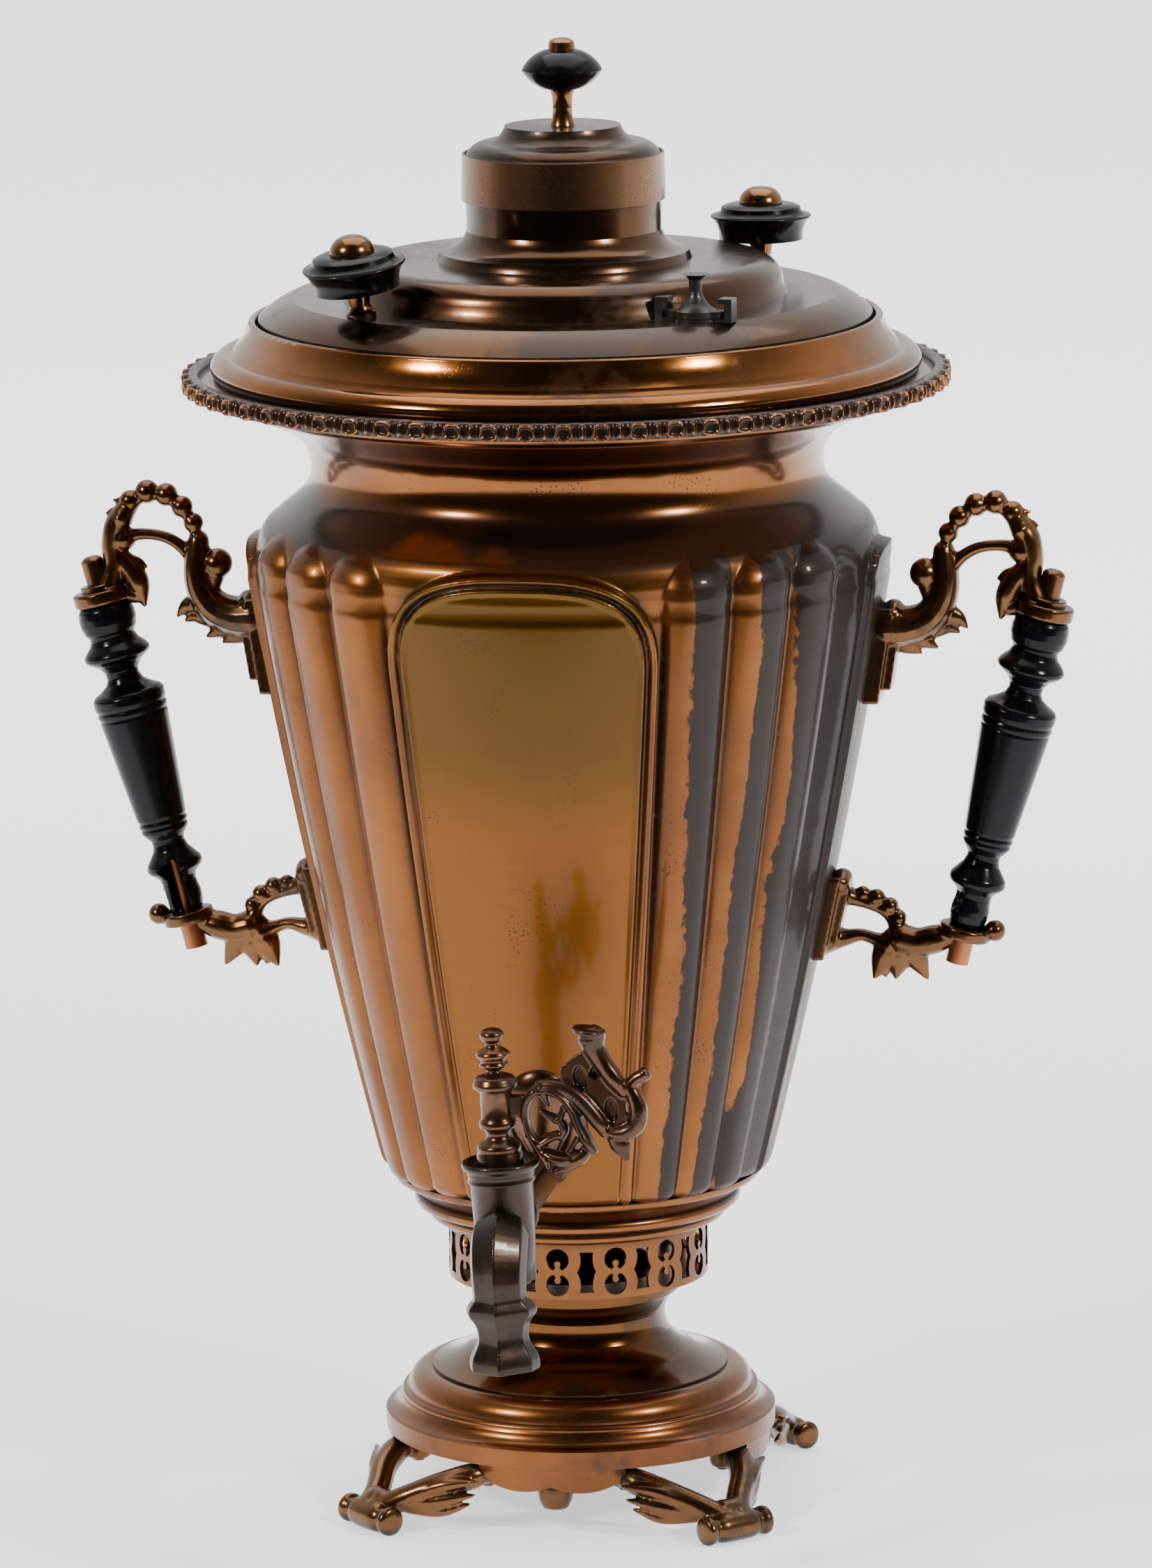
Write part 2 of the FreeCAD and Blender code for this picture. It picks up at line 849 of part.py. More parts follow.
def vase(inset):
    """The body's outer form, or with an inset its hollow."""
    top = loft_top
    foot = size.body_foot_radius.value - inset
    low = datum.value if not inset else datum.value - 0.5
    flare = datum.value + size.flare_height.value
    throat = size.throat_radius.value - inset
    crest = size.crest_top.value - inset
    rim = size.flare_radius.value - inset
    envelope = spun([
        (0, low),
        (foot, low),
        (foot + 4.2, low + 6, foot + 2.6, low + 2.2),
        (crest + 8, top - 60),
        (crest - 3.6, top - 22.8),
        (crest - 10.2, top - 5.4, crest - 5.8, top - 11.2),
        (crest - 17, top, crest - 13.2, top - 2.8),
        (0, top),
    ])
    upstand = rim_level.value
    upper = spun([
        (0, top),
        (crest - 17, top),
        (throat, top + 16.5, throat + 2.6, top + 6.6),
        (throat + 5.6, top + 28 + inset * 0.7, throat + 1.2, top + 23),
        (rim, flare + inset * 1.2, (throat + rim) / 2 + 4, (top + 28 + flare) / 2 + 1.5 + inset),
        (rim, upstand),
        (0, upstand),
    ])
    lower = fluted_loft(inset).common(envelope)
    return lower, upper, envelope


def border_face(outline_inset):
    """The panel border's outline in the front plane, as a face."""
    low = datum.value + 8
    shoulder = datum.value + size.border_shoulder.value
    crown = datum.value + size.border_crown.value - outline_inset
    top = size.border_half_top.value - outline_inset
    foot = size.border_half_foot.value - outline_inset
    right = [
        Vector(foot, 0, low),
        Vector(top, 0, shoulder),
        Vector(top * 0.93, 0, crown - 11.5),
        Vector(top * 0.68, 0, crown - 4.2),
    ]
    left = [Vector(-point.x, 0, point.z) for point in right]
    edges = [
        Part.LineSegment(left[0], right[0]).toShape(),
        Part.LineSegment(right[0], right[1]).toShape(),
        Part.Arc(right[1], right[2], right[3]).toShape(),
        Part.Arc(right[3], Vector(0, 0, crown), left[3]).toShape(),
        Part.Arc(left[3], left[2], left[1]).toShape(),
        Part.LineSegment(left[1], left[0]).toShape(),
    ]
    return Part.Face(Part.Wire(edges))


def panel_borders():
    """The raised borders of the front and back panels."""
    lift = size.border_height.value
    sink = size.panel_sink.value
    rings = []
    for height, crest in (
        (loft_foot, size.crest_foot.value),
        (loft_middle, size.crest_middle.value),
        (loft_top, size.crest_top.value),
    ):
        rings.append(Part.Wire(Part.makeCircle(crest - sink + lift, Vector(0, 0, height))))
    cone = Part.makeLoft(rings, True, False)
    envelope = vase(-lift)[2]
    outer = border_face(0).extrude(Vector(0, -200, 0))
    inner = border_face(size.border_width.value).extrude(Vector(0, -200, 0))
    frame = outer.cut(inner)
    front = frame.common(cone).common(envelope)
    back = front.copy()
    back.rotate(Vector(), Vector(0, 0, 1), 180)
    return [front, back]


lower_form, upper_form, _ = vase(0)
body_form = lower_form.fuse([upper_form])
lower_hollow, upper_hollow, _ = vase(size.sheet_wall.value)
hollow = lower_hollow.fuse([upper_hollow])
outer_form = body_form.fuse(panel_borders())
shank_hole = Part.makeCylinder(
    size.shank_radius.value + size.slip_gap.value,
    60,
    Vector(0, -40, size.tap_height.value),
    Vector(0, -1, 0),
)
shell = outer_form.cut([hollow, shank_hole])
solid_node("body_shell", shell)

# Top plate: the spun rim piece with a big roll, a ridge and a raised lip round the lid's mouth
plate_edge = size.rim_radius - size.bead_radius - 0.05
turned_node("top_plate", [
    (size.plate_mouth_radius - size.lid_ledge_width, ledge),
    (size.plate_mouth_radius, ledge),
    (size.plate_mouth_radius, rim_level + size.plate_lip_height - 0.6),
    (size.plate_lip_radius, rim_level + size.plate_lip_height - 0.6, 0.8),
    (size.plate_ridge_radius, rim_level + size.plate_ridge_height, -0.12),
    (size.plate_ridge_radius + 1.7, rim_level + size.plate_ridge_height - 2.1, -0.1),
    (size.plate_roll_radius, rim_level + size.plate_roll_height, 0.4),
    (size.plate_roll_radius - 1.4, rim_level + wall + 1.2, 0.3),
    (plate_edge, rim_level + wall),
    (plate_edge, rim_level),
    (size.plate_roll_radius - 1.8, rim_level),
    (size.plate_roll_radius - 3, rim_level + 2.6),
    (size.plate_roll_radius - 2.4, rim_level + size.plate_roll_height - 0.6),
    (size.plate_ridge_radius - wall, rim_level + size.plate_ridge_height - 2.6),
    (size.plate_lip_radius - wall, rim_level + size.lid_ledge_height - wall, -0.1),
    (size.plate_mouth_radius - size.lid_ledge_width, ledge - wall),
])


def bead_ring():
    """The rim's bead strip: a bevelled strip with a ring of round beads let into it.

    Each bead's poles and seam are turned inwards, so that they end up inside the strip.
    """
    radius = size.rim_radius.value
    core = size.rim_core_radius.value
    count = int(round(size.bead_count.value))
    height = rim_level.value + 0.4
    back = plate_edge.value + 0.02
    beads = []
    for i in range(count):
        bead = Part.makeSphere(size.bead_radius.value)
        bead.rotate(Vector(), Vector(1, 1, 1), 120)
        bead.translate(Vector(0, -radius, height))
        bead.rotate(Vector(), Vector(0, 0, 1), 360.0 * (i + 0.5) / count)
        beads.append(bead)
    strip = spun([
        (back, height - core),
        (radius, height - core),
        (radius + core, height - core / 2),
        (radius + core, height + core / 2),
        (radius, height + core),
        (back, height + core),
    ])
    return strip.fuse(beads)


solid_node("beaded_rim", bead_ring())

# Lid: a stepped cone spun from sheet, with a soldered collar and a locating skirt below
lid_edge = size.plate_mouth_radius - size.lid_gap
lid_top = lid_low + size.lid_step_height
lid_rise = lid_low + size.lid_rise_height
lid_crown = lid_low + size.lid_crown_height
lid_flare = lid_low + size.collar_foot_height
turned_node("lid_shell", [
    (size.collar_radius, lid_flare + 7.2),
    (size.collar_foot_radius, lid_flare, -0.34),
    (size.collar_foot_radius + 0.8, lid_crown, -0.1),
    (size.lid_crown_radius, lid_crown),
    (size.lid_rise_radius, lid_rise, 0.34),
    (size.lid_rise_radius + 2, lid_top, -0.1),
    (size.lid_step_radius, lid_top),
    (lid_edge, lid_low + 5.1, 0.12),
    (lid_edge, lid_low),
    (size.lid_skirt_radius, lid_low),
    (size.lid_skirt_radius, lid_low + 3),
    (size.lid_step_radius - wall, lid_top - wall),
    (size.lid_rise_radius + 0.8, lid_top - wall),
    (size.lid_rise_radius - wall, lid_rise - wall),
    (size.lid_crown_radius - wall, lid_crown - wall),
    (size.collar_foot_radius - wall * 0.6, lid_crown - wall),
    (size.collar_foot_radius - wall, lid_flare - wall),
    (size.collar_radius, lid_flare + 5.4, 0.34),
])
turned_node("lid_collar", [
    (size.collar_radius - size.solder_gap, lid_flare + 3),
    (size.collar_radius - size.solder_gap, collar_top),
    (size.collar_radius - size.solder_gap - wall, collar_top),
    (size.collar_radius - size.solder_gap - wall, lid_flare + 3),
])
turned_node("lid_skirt", [
    (size.lid_skirt_radius, lid_low),
    (size.lid_skirt_radius - wall, lid_low),
    (size.lid_skirt_radius - wall, lid_low - size.lid_skirt_drop),
    (size.lid_skirt_radius, lid_low - size.lid_skirt_drop),
])

# Lid knobs: a brass stem, a turned black wood knob and a domed nut on each side of the lid
def knob_place(azimuth, lean):
    """Where a knob stands on the lid, with its lean outwards."""
    foot_point = along(azimuth, size.knob_circle.value, lid_top.value)
    outward = Rotation(Vector(0, 0, 1), azimuth)
    tilt = Rotation(Vector(1, 0, 0), lean)
    return Placement(foot_point, outward.multiply(tilt))


stem_top = size.knob_stem_height
knob_top = stem_top + size.knob_height
for side, azimuth, lean in (
    ("left", -size.knob_azimuth.value, size.knob_lean.value),
    ("right", 180 - size.knob_azimuth.value, 0.0),
):
    place = knob_place(azimuth, lean)
    stem = turned("stem_turning_" + side, [
        (0, -1.4),
        (size.knob_stem_radius, -1.4),
        (size.knob_stem_radius, 2),
        (size.knob_stem_waist, 4.4, 0.2),
        (size.knob_stem_waist + 1, stem_top),
        (size.knob_spigot, stem_top),
        (size.knob_spigot, knob_top + 2),
        (0, knob_top + 2),
    ], place)
    level = Part.makeBox(400, 400, 20, Vector(-200, -200, lid_top.value - 20))
    cut_node("lid_stem_" + side, stem, helper("stem_level_" + side, level))
    bore = size.knob_spigot + size.slip_gap
    turned_node("lid_knob_" + side, [
        (bore, stem_top),
        (size.knob_foot_radius, stem_top),
        (size.knob_foot_radius + 1, stem_top + 5.2, 0.12),
        (size.knob_radius, stem_top + 7.6, 0.1),
        (size.knob_radius, stem_top + 8.6, -0.6),
        (size.knob_foot_radius - 0.4, stem_top + 10, 0.25),
        (size.knob_foot_radius - 0.8, stem_top + 11.4),
        (size.knob_nut_radius + 2, knob_top, -0.1),
        (bore, knob_top),
    ], place)
    turned_node("lid_nut_" + side, [
        (bore, knob_top),
        (size.knob_nut_radius, knob_top),
        (size.knob_nut_radius, knob_top + 0.8),
        (size.dome_flat, knob_top + size.knob_nut_height, -0.42),
        (0, knob_top + size.knob_nut_height),
        (0, knob_top + 2.4),
        (bore, knob_top + 2.4),
    ], place)

# Steam vent: a base with two ears on the lid, and a knobbed cover that turns under them
vent_spot = along(size.vent_azimuth.value, size.vent_circle.value, lid_top.value)
vent_frame = Placement(vent_spot, Rotation(Vector(0, 0, 1), -size.vent_turn.value))


def vent_base():
    """The vent's pierced plate, with an ear at each end that hooks over the cover."""
    plate = size.vent_plate.value
    base = Part.makeCylinder(size.vent_base_radius.value, plate)
    reach = size.vent_reach.value
    thick = size.vent_ear_thick.value
    tall = size.vent_ear_height.value
    wide = size.vent_bar_width.value
    pieces = [Part.makeBox(2 * reach, wide, plate, Vector(-reach, -wide / 2, 0))]
    for side in (-1, 1):
        x = side * (reach - thick / 2)
        pieces.append(Part.makeBox(thick, wide, tall, Vector(x - thick / 2, -wide / 2, 0)))
        hook = Part.makeBox(thick * 1.8, wide, 1.6, Vector(0, -wide / 2, tall - 1.6))
        hook.translate(Vector(x - thick * 1.3 if side > 0 else x - thick * 0.5, 0, 0))
        pieces.append(hook)
    shape = fuse(base, pieces)
    for azimuth in (45, 135, 225, 315):
        hole = along(azimuth, size.vent_hole_circle.value, 0)
        shape = shape.cut(Part.makeCylinder(size.vent_hole.value / 2, 6, hole))
    return shape


vent_placed = vent_base()
vent_placed.Placement = vent_frame
riser_edge = size.lid_rise_radius.value + 0.9
riser = Part.makeCone(riser_edge + 1.4, riser_edge, 6, Vector(0, 0, lid_top.value - 0.5))
riser_top = Part.makeCylinder(riser_edge, 12, Vector(0, 0, lid_top.value + 5.4))
solid_node("vent_base", vent_placed.cut([riser, riser_top]))
vent_seat = size.vent_plate + size.seat_gap
cover_body = turned("vent_cone", [
    (0, vent_seat),
    (size.vent_base_radius - 0.6, vent_seat),
    (size.vent_base_radius - 0.6, vent_seat + size.vent_cover),
    (size.vent_knob_radius * 0.44, vent_seat + size.vent_knob_height * 0.6, 0.25),
    (size.vent_knob_radius * 0.44, vent_seat + size.vent_knob_height - 2),
    (size.vent_knob_radius, vent_seat + size.vent_knob_height, 0.2),
    (0, vent_seat + size.vent_knob_height),
])


def vent_lobes():
    """The two rounded wings that the cover is turned by."""
    low = vent_seat.value
    thick = size.vent_cover.value
    radius = size.vent_lobe_radius.value
    reach = size.vent_lobe_reach.value - radius
    lobes = [Part.makeCylinder(radius, thick, Vector(side * reach, 0, low)) for side in (-1, 1)]
    bar = Part.makeBox(2 * reach, 2 * radius, thick, Vector(-reach, -radius, low))
    return fuse(bar, lobes)


vent_cover = document.addObject("Part::Fuse", "vent_cover")
vent_cover.Base = cover_body
vent_cover.Tool = helper("vent_lobes", vent_lobes())
vent_cover.Placement = vent_frame
keep(vent_cover, "vent_cover")

# Chimney cap: a stepped dome with a band that fits over the lid's collar, a stem and a knob
cap_inner = size.collar_radius + size.cap_clear
cap_seat = collar_top + size.seat_gap
cap_low = collar_top - size.cap_band_height + wall
cap_crown = cap_seat + size.cap_rise
turned_node("cap_dome", [
    (0, cap_crown),
    (0, cap_crown + wall),
    (size.cap_top_radius, cap_crown + wall),
    (size.cap_shoulder_radius, cap_seat + wall + 4.4, -0.3),
    (cap_inner - 1, cap_seat + wall + 1, 0.3),
    (cap_inner - 0.05, cap_seat + wall),
    (cap_inner - 0.05, cap_seat),
    (size.collar_radius - wall * 3, cap_seat),
    (size.cap_shoulder_radius - wall * 1.4, cap_seat + 4.4),
    (size.cap_top_radius - wall, cap_crown),
])
turned_node("cap_band", [
    (cap_inner, cap_low),
    (cap_inner + wall, cap_low),
    (cap_inner + wall * 0.7, cap_seat + wall + 0.6),
    (cap_inner - 0.03, cap_seat + wall + 0.6),
    (cap_inner - 0.03, cap_seat),
    (cap_inner, cap_seat - 0.5),
])
stem_low = cap_crown + wall
stem_high = stem_low + size.cap_stem_height
turned_node("cap_stem", [
    (0, stem_low),
    (size.cap_stem_radius, stem_low),
    (size.cap_stem_waist, stem_low + size.cap_stem_height * 0.5, 0.12),
    (size.cap_stem_radius, stem_high, 0.12),
    (size.knob_spigot, stem_high),
    (size.knob_spigot, stem_high + size.cap_knob_height + 1),
    (0, stem_high + size.cap_knob_height + 1),
])
knob_bore = size.knob_spigot + size.slip_gap
turned_node("cap_knob", [
    (knob_bore, stem_high),
    (size.cap_stem_radius, stem_high),
    (size.cap_knob_radius, stem_high + size.cap_knob_height * 0.5, -0.24),
    (size.cap_button_radius, stem_high + size.cap_knob_height, -0.24),
    (knob_bore, stem_high + size.cap_knob_height),
])
turned_node("cap_button", [
    (knob_bore, stem_high + size.cap_knob_height),
    (size.cap_button_radius, stem_high + size.cap_knob_height),
    (size.cap_button_radius - 0.3, stem_high + size.cap_knob_height + 2.6),
    (size.dome_flat, stem_high + size.cap_knob_height + size.cap_button_height, -0.2),
    (0, stem_high + size.cap_knob_height + size.cap_button_height),
    (0, stem_high + size.cap_knob_height + 1.4),
    (knob_bore, stem_high + size.cap_knob_height + 1.4),
])

# Handles: cast scroll brackets above and below carry a turned black grip on a rod
grip_foot = Vector(size.grip_foot_x.value, 0, size.grip_foot_z.value)
grip_head = Vector(size.grip_top_x.value, 0, size.grip_top_z.value)
grip_way = (grip_head - grip_foot).normalize()
grip_span = (grip_head - grip_foot).Length


def on_grip(distance):
    """A point on the grip's axis, measured up from the lower eye's centre."""
    return grip_foot + grip_way * distance


def pad(top, bottom):
    """A stepped pad that fits the body's side strip."""
    wide = size.pad_width.value
    thick = size.pad_thick.value
    step = size.pad_step.value
    layers = []
    for grow, extra in ((0, thick), (step, thick + step * 0.6)):
        points = [
            Vector(crest_at(top) - 8, 0, top - grow),
            Vector(crest_at(top) + extra, 0, top - grow),
            Vector(crest_at(bottom) + extra, 0, bottom + grow),
            Vector(crest_at(bottom) - 8, 0, bottom + grow),
        ]
        half = wide / 2 - grow
        layers.append(prism(points, Vector(0, -half, 0), Vector(0, 2 * half, 0)))
    return fuse(layers[0], layers[1:])


def eye(centre, radius, thick):
    low = centre - grip_way * (thick / 2)
    return Part.makeCylinder(radius, thick, low, grip_way)


def spot(x, z):
    return Vector(x, 0, z)


def scroll(corners, level, radii):
    """A tapered bar through (x, z) corners in the handle's plane, with z measured from a level."""
    return tube([spot(x, level + z) for x, z in corners], radii)


def upper_bracket():
    """Pad, arm and curled bud, a beaded arch with a strut under it, leaves, and the rod's eye."""
    bar = size.arm_radius.value
    bead = size.bracket_bead.value
    strut = size.strut_radius.value
    top = size.upper_pad_top.value
    pad_x = size.crest_top.value
    eye_side = (grip_head.x - size.eye_radius.value * 0.75, grip_head.z - top)
    arch = [(132.6, 25.7), (136.3, 31.5), (141.7, 35.7), (148.5, 36.6), (154.6, 33.0)]
    pieces = [
        scroll([(pad_x - 1, -10), (119, -9), (127, -2.5), (131.5, 9), (132.5, 17)], top,
               [bar * 1.7, bar * 1.5, bar * 1.35, bar * 1.2, bar * 0.9]),
        ball(spot(124.2, top + 11.3), bar * 1.35),
        scroll([(124.2, 11.3), (129.5, 3)], top, [bar * 0.9, bar]),
        scroll([(132, 13), (140, 19.5), (149, 21.5), (157, 20)], top, [strut * 1.1, strut, strut, strut]),
        scroll([(124, -8), (131, -10), (138, -7.5)], top, [bar, bar * 0.9, bar * 0.25]),
        scroll([(120, -11), (124.5, -14), (128, -14.5)], top, [bar, bar * 0.7, bar * 0.25]),
        scroll([(132.5, 17)] + arch + [(157.8, 27)], top, [bar * 0.7] * 7),
        ball(spot(157.3, top + 20), bead * 1.05),
        scroll([(156, 29), (160.5, 27), (163, 24)], top, [bar * 0.8, bar * 0.6, bar * 0.25]),
        scroll([(157.5, 24), (157, 14), (157.5, 5), eye_side], top,
               [bar * 0.9, bar * 0.9, bar, bar * 0.72]),
        scroll([(156, 9), (151.5, 3), (150, -3.5)], top, [bar, bar * 0.85, bar * 0.25]),
        eye(grip_head, size.eye_radius.value, size.eye_thick.value),
        pad(top, size.upper_pad_bottom.value),
    ]
    for x, z in arch:
        pieces.append(ball(spot(x, top + z), bead))
    return fuse(pieces[0], pieces[1:])


def lower_bracket():
    """Pad, a small beaded arch with a strut under it, two hanging leaves, and the rod's eye."""
    bar = size.arm_radius.value
    bead = size.bracket_bead.value * 0.85
    strut = size.strut_radius.value
    top = size.lower_pad_top.value
    eye_radius = size.lower_eye_radius.value
    eye_side = (grip_foot.x - eye_radius * 0.7, grip_foot.z - top)
    pieces = [
        scroll([(93, -7), (100, -6.5), (107, -8.6), (113, -14), (114.5, -22)], top,
               [bar, bar * 0.8, bar * 0.75, bar * 0.8, bar]),
        scroll([(90, -22), (99, -21.5), (107, -21), (114.5, -25)], top, [strut * 1.4, strut, strut, strut]),
        scroll([(114.5, -20), (111, -29), (106, -35.5)], top, [bar, bar * 1.1, bar * 0.3]),
        scroll([(115, -20), (118, -29), (123, -35.5)], top, [bar, bar * 1.1, bar * 0.3]),
        scroll([(114.5, -22), (120, -24), (126, -20.5), eye_side], top,
               [bar, bar * 0.9, bar * 0.85, bar * 0.65]),
        eye(grip_foot, eye_radius, size.lower_eye_thick.value),
        ball(grip_foot + spot(eye_radius + 2.2, 0.6), bead * 1.15),
        tube([grip_foot, grip_foot + spot(eye_radius + 1.5, 0.5)], [bar * 0.55, bar * 0.5]),
        pad(top, size.lower_pad_bottom.value),
    ]
    for x, z in ((105, -7.4), (110.5, -10), (114, -14.6)):
        pieces.append(ball(spot(x, top + z), bead))
    return fuse(pieces[0], pieces[1:])


def seat_on_grip(radius, distance):
    """Clear room for a round piece that sits on an eye, from a distance up the grip's axis."""
    return Part.makeCylinder(radius + size.slip_gap.value, 12, on_grip(distance), grip_way)


rod_hole = Part.makeCylinder(
    size.rod_radius.value + size.slip_gap.value, grip_span + 60, on_grip(-30), grip_way)
washer_seat = seat_on_grip(size.washer_radius.value, grip_span + size.eye_thick.value / 2)
grip_seat = seat_on_grip(size.grip_tail.value, size.lower_eye_thick.value / 2)
upper = upper_bracket().cut([rod_hole, body_form, washer_seat])
lower = lower_bracket().cut([rod_hole, body_form, grip_seat])
grip_low = size.lower_eye_thick / 2 + size.grip_end_gap
grip_high = grip_span - size.eye_thick.value / 2 - size.grip_end_gap.value
grip_length = grip_high - grip_low.value


def grip_outline():
    """The turned grip: cushion, ring, neck, a long taper, neck, flare and tail."""
    steps = [
        (0.0, size.grip_tail - 1, 0),
        (0.05, size.grip_tail, -0.3),
        (0.10, size.grip_tail - 1, -0.3),
        (0.125, size.grip_neck, 0.2),
        (0.152, size.grip_flare, -0.3),
        (0.17, size.grip_flare - 1, -0.2),
        (0.224, size.grip_neck, 0.25),
        (0.262, size.grip_waist, 0.1),
        (0.68, size.grip_shoulder, -0.02),
        (0.712, size.grip_shoulder - 1, -0.4),
        (0.77, size.grip_neck, 0.3),
        (0.815, size.grip_ring - 1.6, 0.25),
        (0.84, size.grip_ring, -0.3),
        (0.865, size.grip_ring - 1.6, -0.3),
        (0.9, size.grip_cushion - 2, 0.1),
        (1.0, size.grip_cushion - 1.6, -0.6),
    ]
    outline = [(size.rod_radius + size.slip_gap, grip_low)]
    outline += [(radius, grip_low + share * grip_length, bulge) for share, radius, bulge in steps]
    outline.append((size.rod_radius + size.slip_gap, grip_low + grip_length))
    return outline


def grip_break():
    """The wood that has split off the left grip's lower end, on its side towards the body."""
    low = grip_low.value - 1
    high = grip_low.value + size.grip_break.value
    out = size.grip_shoulder.value
    edge = -size.rod_radius.value * 0.6
    corners = [spot(edge, low), spot(out, low), spot(out, high + 3), spot(2.4, high), spot(edge, high - 5)]
    shape = prism(corners, Vector(0, -out, 0), Vector(0, 2 * out, 0))
    shape.rotate(Vector(), Vector(0, 0, 1), -40)
    return shape


rod_low = size.lower_eye_thick / 2
rod_top = grip_span + size.eye_thick.value / 2 + size.washer_thick.value
for side, mirror in (("left", True), ("right", False)):
    def place_shape(shape):
        return shape.mirror(Vector(), Vector(1, 0, 0)) if mirror else shape

    solid_node("handle_%s_upper_bracket" % side, place_shape(upper))
    solid_node("handle_%s_lower_bracket" % side, place_shape(lower))
    foot_point = Vector(-grip_foot.x, 0, grip_foot.z) if mirror else grip_foot
    way = Vector(-grip_way.x, 0, grip_way.z) if mirror else grip_way
    frame = Placement(foot_point, Rotation(Vector(0, 0, 1), way))
    if mirror:
        whole_grip = turned("grip_turning", grip_outline(), frame)
        split_wood = helper("grip_split", grip_break())
        split_wood.Placement = frame
        cut_node("handle_left_grip", whole_grip, split_wood)
    else:
        turned_node("handle_right_grip", grip_outline(), frame)
    turned_node("handle_%s_rod" % side, [
        (0, -rod_low - size.rod_head_length),
        (size.rod_head_radius, -rod_low - size.rod_head_length),
        (size.rod_head_radius, -rod_low),
        (size.rod_radius, -rod_low),
        (size.rod_radius, rod_top + 5),
        (0, rod_top + 5),
    ], frame)
    turned_node("handle_%s_washer" % side, [
        (size.rod_radius + size.slip_gap, rod_top - size.washer_thick),
        (size.washer_radius, rod_top - size.washer_thick),
        (size.washer_radius, rod_top - 0.4),
        (size.washer_radius - 0.4, rod_top),
        (size.rod_radius + size.slip_gap, rod_top),
    ], frame)
    turned_node("handle_%s_acorn" % side, [
        (size.rod_radius + size.slip_gap, rod_top),
        (size.acorn_radius, rod_top),
        (size.acorn_radius, rod_top + size.acorn_height - 1.6),
        (size.dome_flat, rod_top + size.acorn_height, -0.3),
        (0, rod_top + size.acorn_height),
        (0, rod_top + 5.4),
        (size.rod_radius + size.slip_gap, rod_top + 5.4),
    ], frame)

# Tap: barrel, shank and spout are one casting; the key is a tapered plug with an openwork lever
tap_pivot = Vector(0, -size.tap_reach.value, size.tap_height.value)
tap_frame = Placement(tap_pivot, Rotation(Vector(0, 1, 0), -size.tap_lean.value))


def bored(radius, start, end):
    way = end - start
    return Part.makeCylinder(radius, way.Length, start, way)


def rib_section(centre, normal, half_wide, half_deep):
    """A ribbed cross-section of the spout: a hexagon with a ridge in front."""
    forward = Vector(1, 0, 0).cross(normal).normalize()
    if forward.y > 0:
        forward = -forward
    side = Vector(1, 0, 0)
    shares = [(0, 1.0), (0.78, 0.62), (1.0, -0.1), (0.6, -0.9), (-0.6, -0.9), (-1.0, -0.1), (-0.78, 0.62)]
    points = [centre + side * (x * half_wide) + forward * (y * half_deep) for x, y in shares]
    return Part.makePolygon(points + points[:1])


def spout():
    reach = -size.spout_reach.value
    drop = -size.spout_drop.value
    half = size.spout_half.value
    collar = size.collar_half.value
    mouth = size.mouth_half.value
    rows = [
        (Vector(0, -3, -1), Vector(0, -1, -0.15), half * 0.8, 8.4),
        (Vector(0, -10, -3.5), Vector(0, -1, -0.5), half * 0.95, 9.6),
        (Vector(0, reach * 0.9, -9), Vector(0, -0.6, -1), half, 9.4),
        (Vector(0, reach, -17), Vector(0, -0.15, -1), half, 8.8),
        (Vector(0, reach, -21.5), Vector(0, 0, -1), half, 8.8),
        (Vector(0, reach, -23.2), Vector(0, 0, -1), collar, 10.6),
        (Vector(0, reach, -26), Vector(0, 0, -1), collar * 0.98, 10.4),
        (Vector(0, reach, -31.5), Vector(0, 0, -1), half * 0.93, 8.2),
        (Vector(0, reach, -36), Vector(0, 0, -1), half * 1.0, 8.9),
        (Vector(0, reach, drop + 3), Vector(0, 0, -1), mouth, 11),
        (Vector(0, reach, drop), Vector(0, 0, -1), mouth, 11.2),
    ]
    sections = [rib_section(*row) for row in rows]
    return Part.makeLoft(sections, True, True)


barrel = turned("tap_barrel", [
    (0, -size.barrel_foot),
    (size.barrel_foot_radius, -size.barrel_foot),
    (size.barrel_radius, size.barrel_top - 7.6),
    (size.barrel_radius + 0.9, size.barrel_top - 6.6, -0.5),
    (size.barrel_radius + 0.6, size.barrel_top - 4.6),
    (size.lip_radius, size.barrel_top - 1.6, 0.2),
    (size.lip_radius, size.barrel_top, -0.3),
    (size.plug_top_radius + 2, size.barrel_top - 2),
    (0, size.barrel_top - 2),
])
document.recompute()
shank_tail = size.tap_reach.value - size.shank_end.value
tap_metal = barrel.Shape.fuse([
    bored(size.shank_radius.value, Vector(0, 5, 0), Vector(0, shank_tail, 0)),
    bored(size.shank_radius.value + 2.2, Vector(0, 12, 0), Vector(0, 16, 0)),
    spout(),
])
plug_low = -size.barrel_foot.value - 0.3
plug_high = size.barrel_top.value - 1.8
plug_gap = size.running_gap.value
plug_bore = Part.makeCone(
    size.plug_foot_radius.value + plug_gap, size.plug_top_radius.value + plug_gap,
    plug_high - plug_low, Vector(0, 0, plug_low))
turn_point = Vector(0, -size.spout_reach.value, -15)
bore = size.shank_bore.value
waterways = [
    plug_bore,
    bored(bore, Vector(0, 0, 0), Vector(0, shank_tail + 1, 0)),
    bored(bore, Vector(0, 0, 0), turn_point),
    ball(turn_point, bore),
    bored(bore, turn_point, Vector(0, -size.spout_reach.value, -size.spout_drop.value - 1)),
]
solid_node("tap_body", tap_metal.cut(waterways), tap_frame)

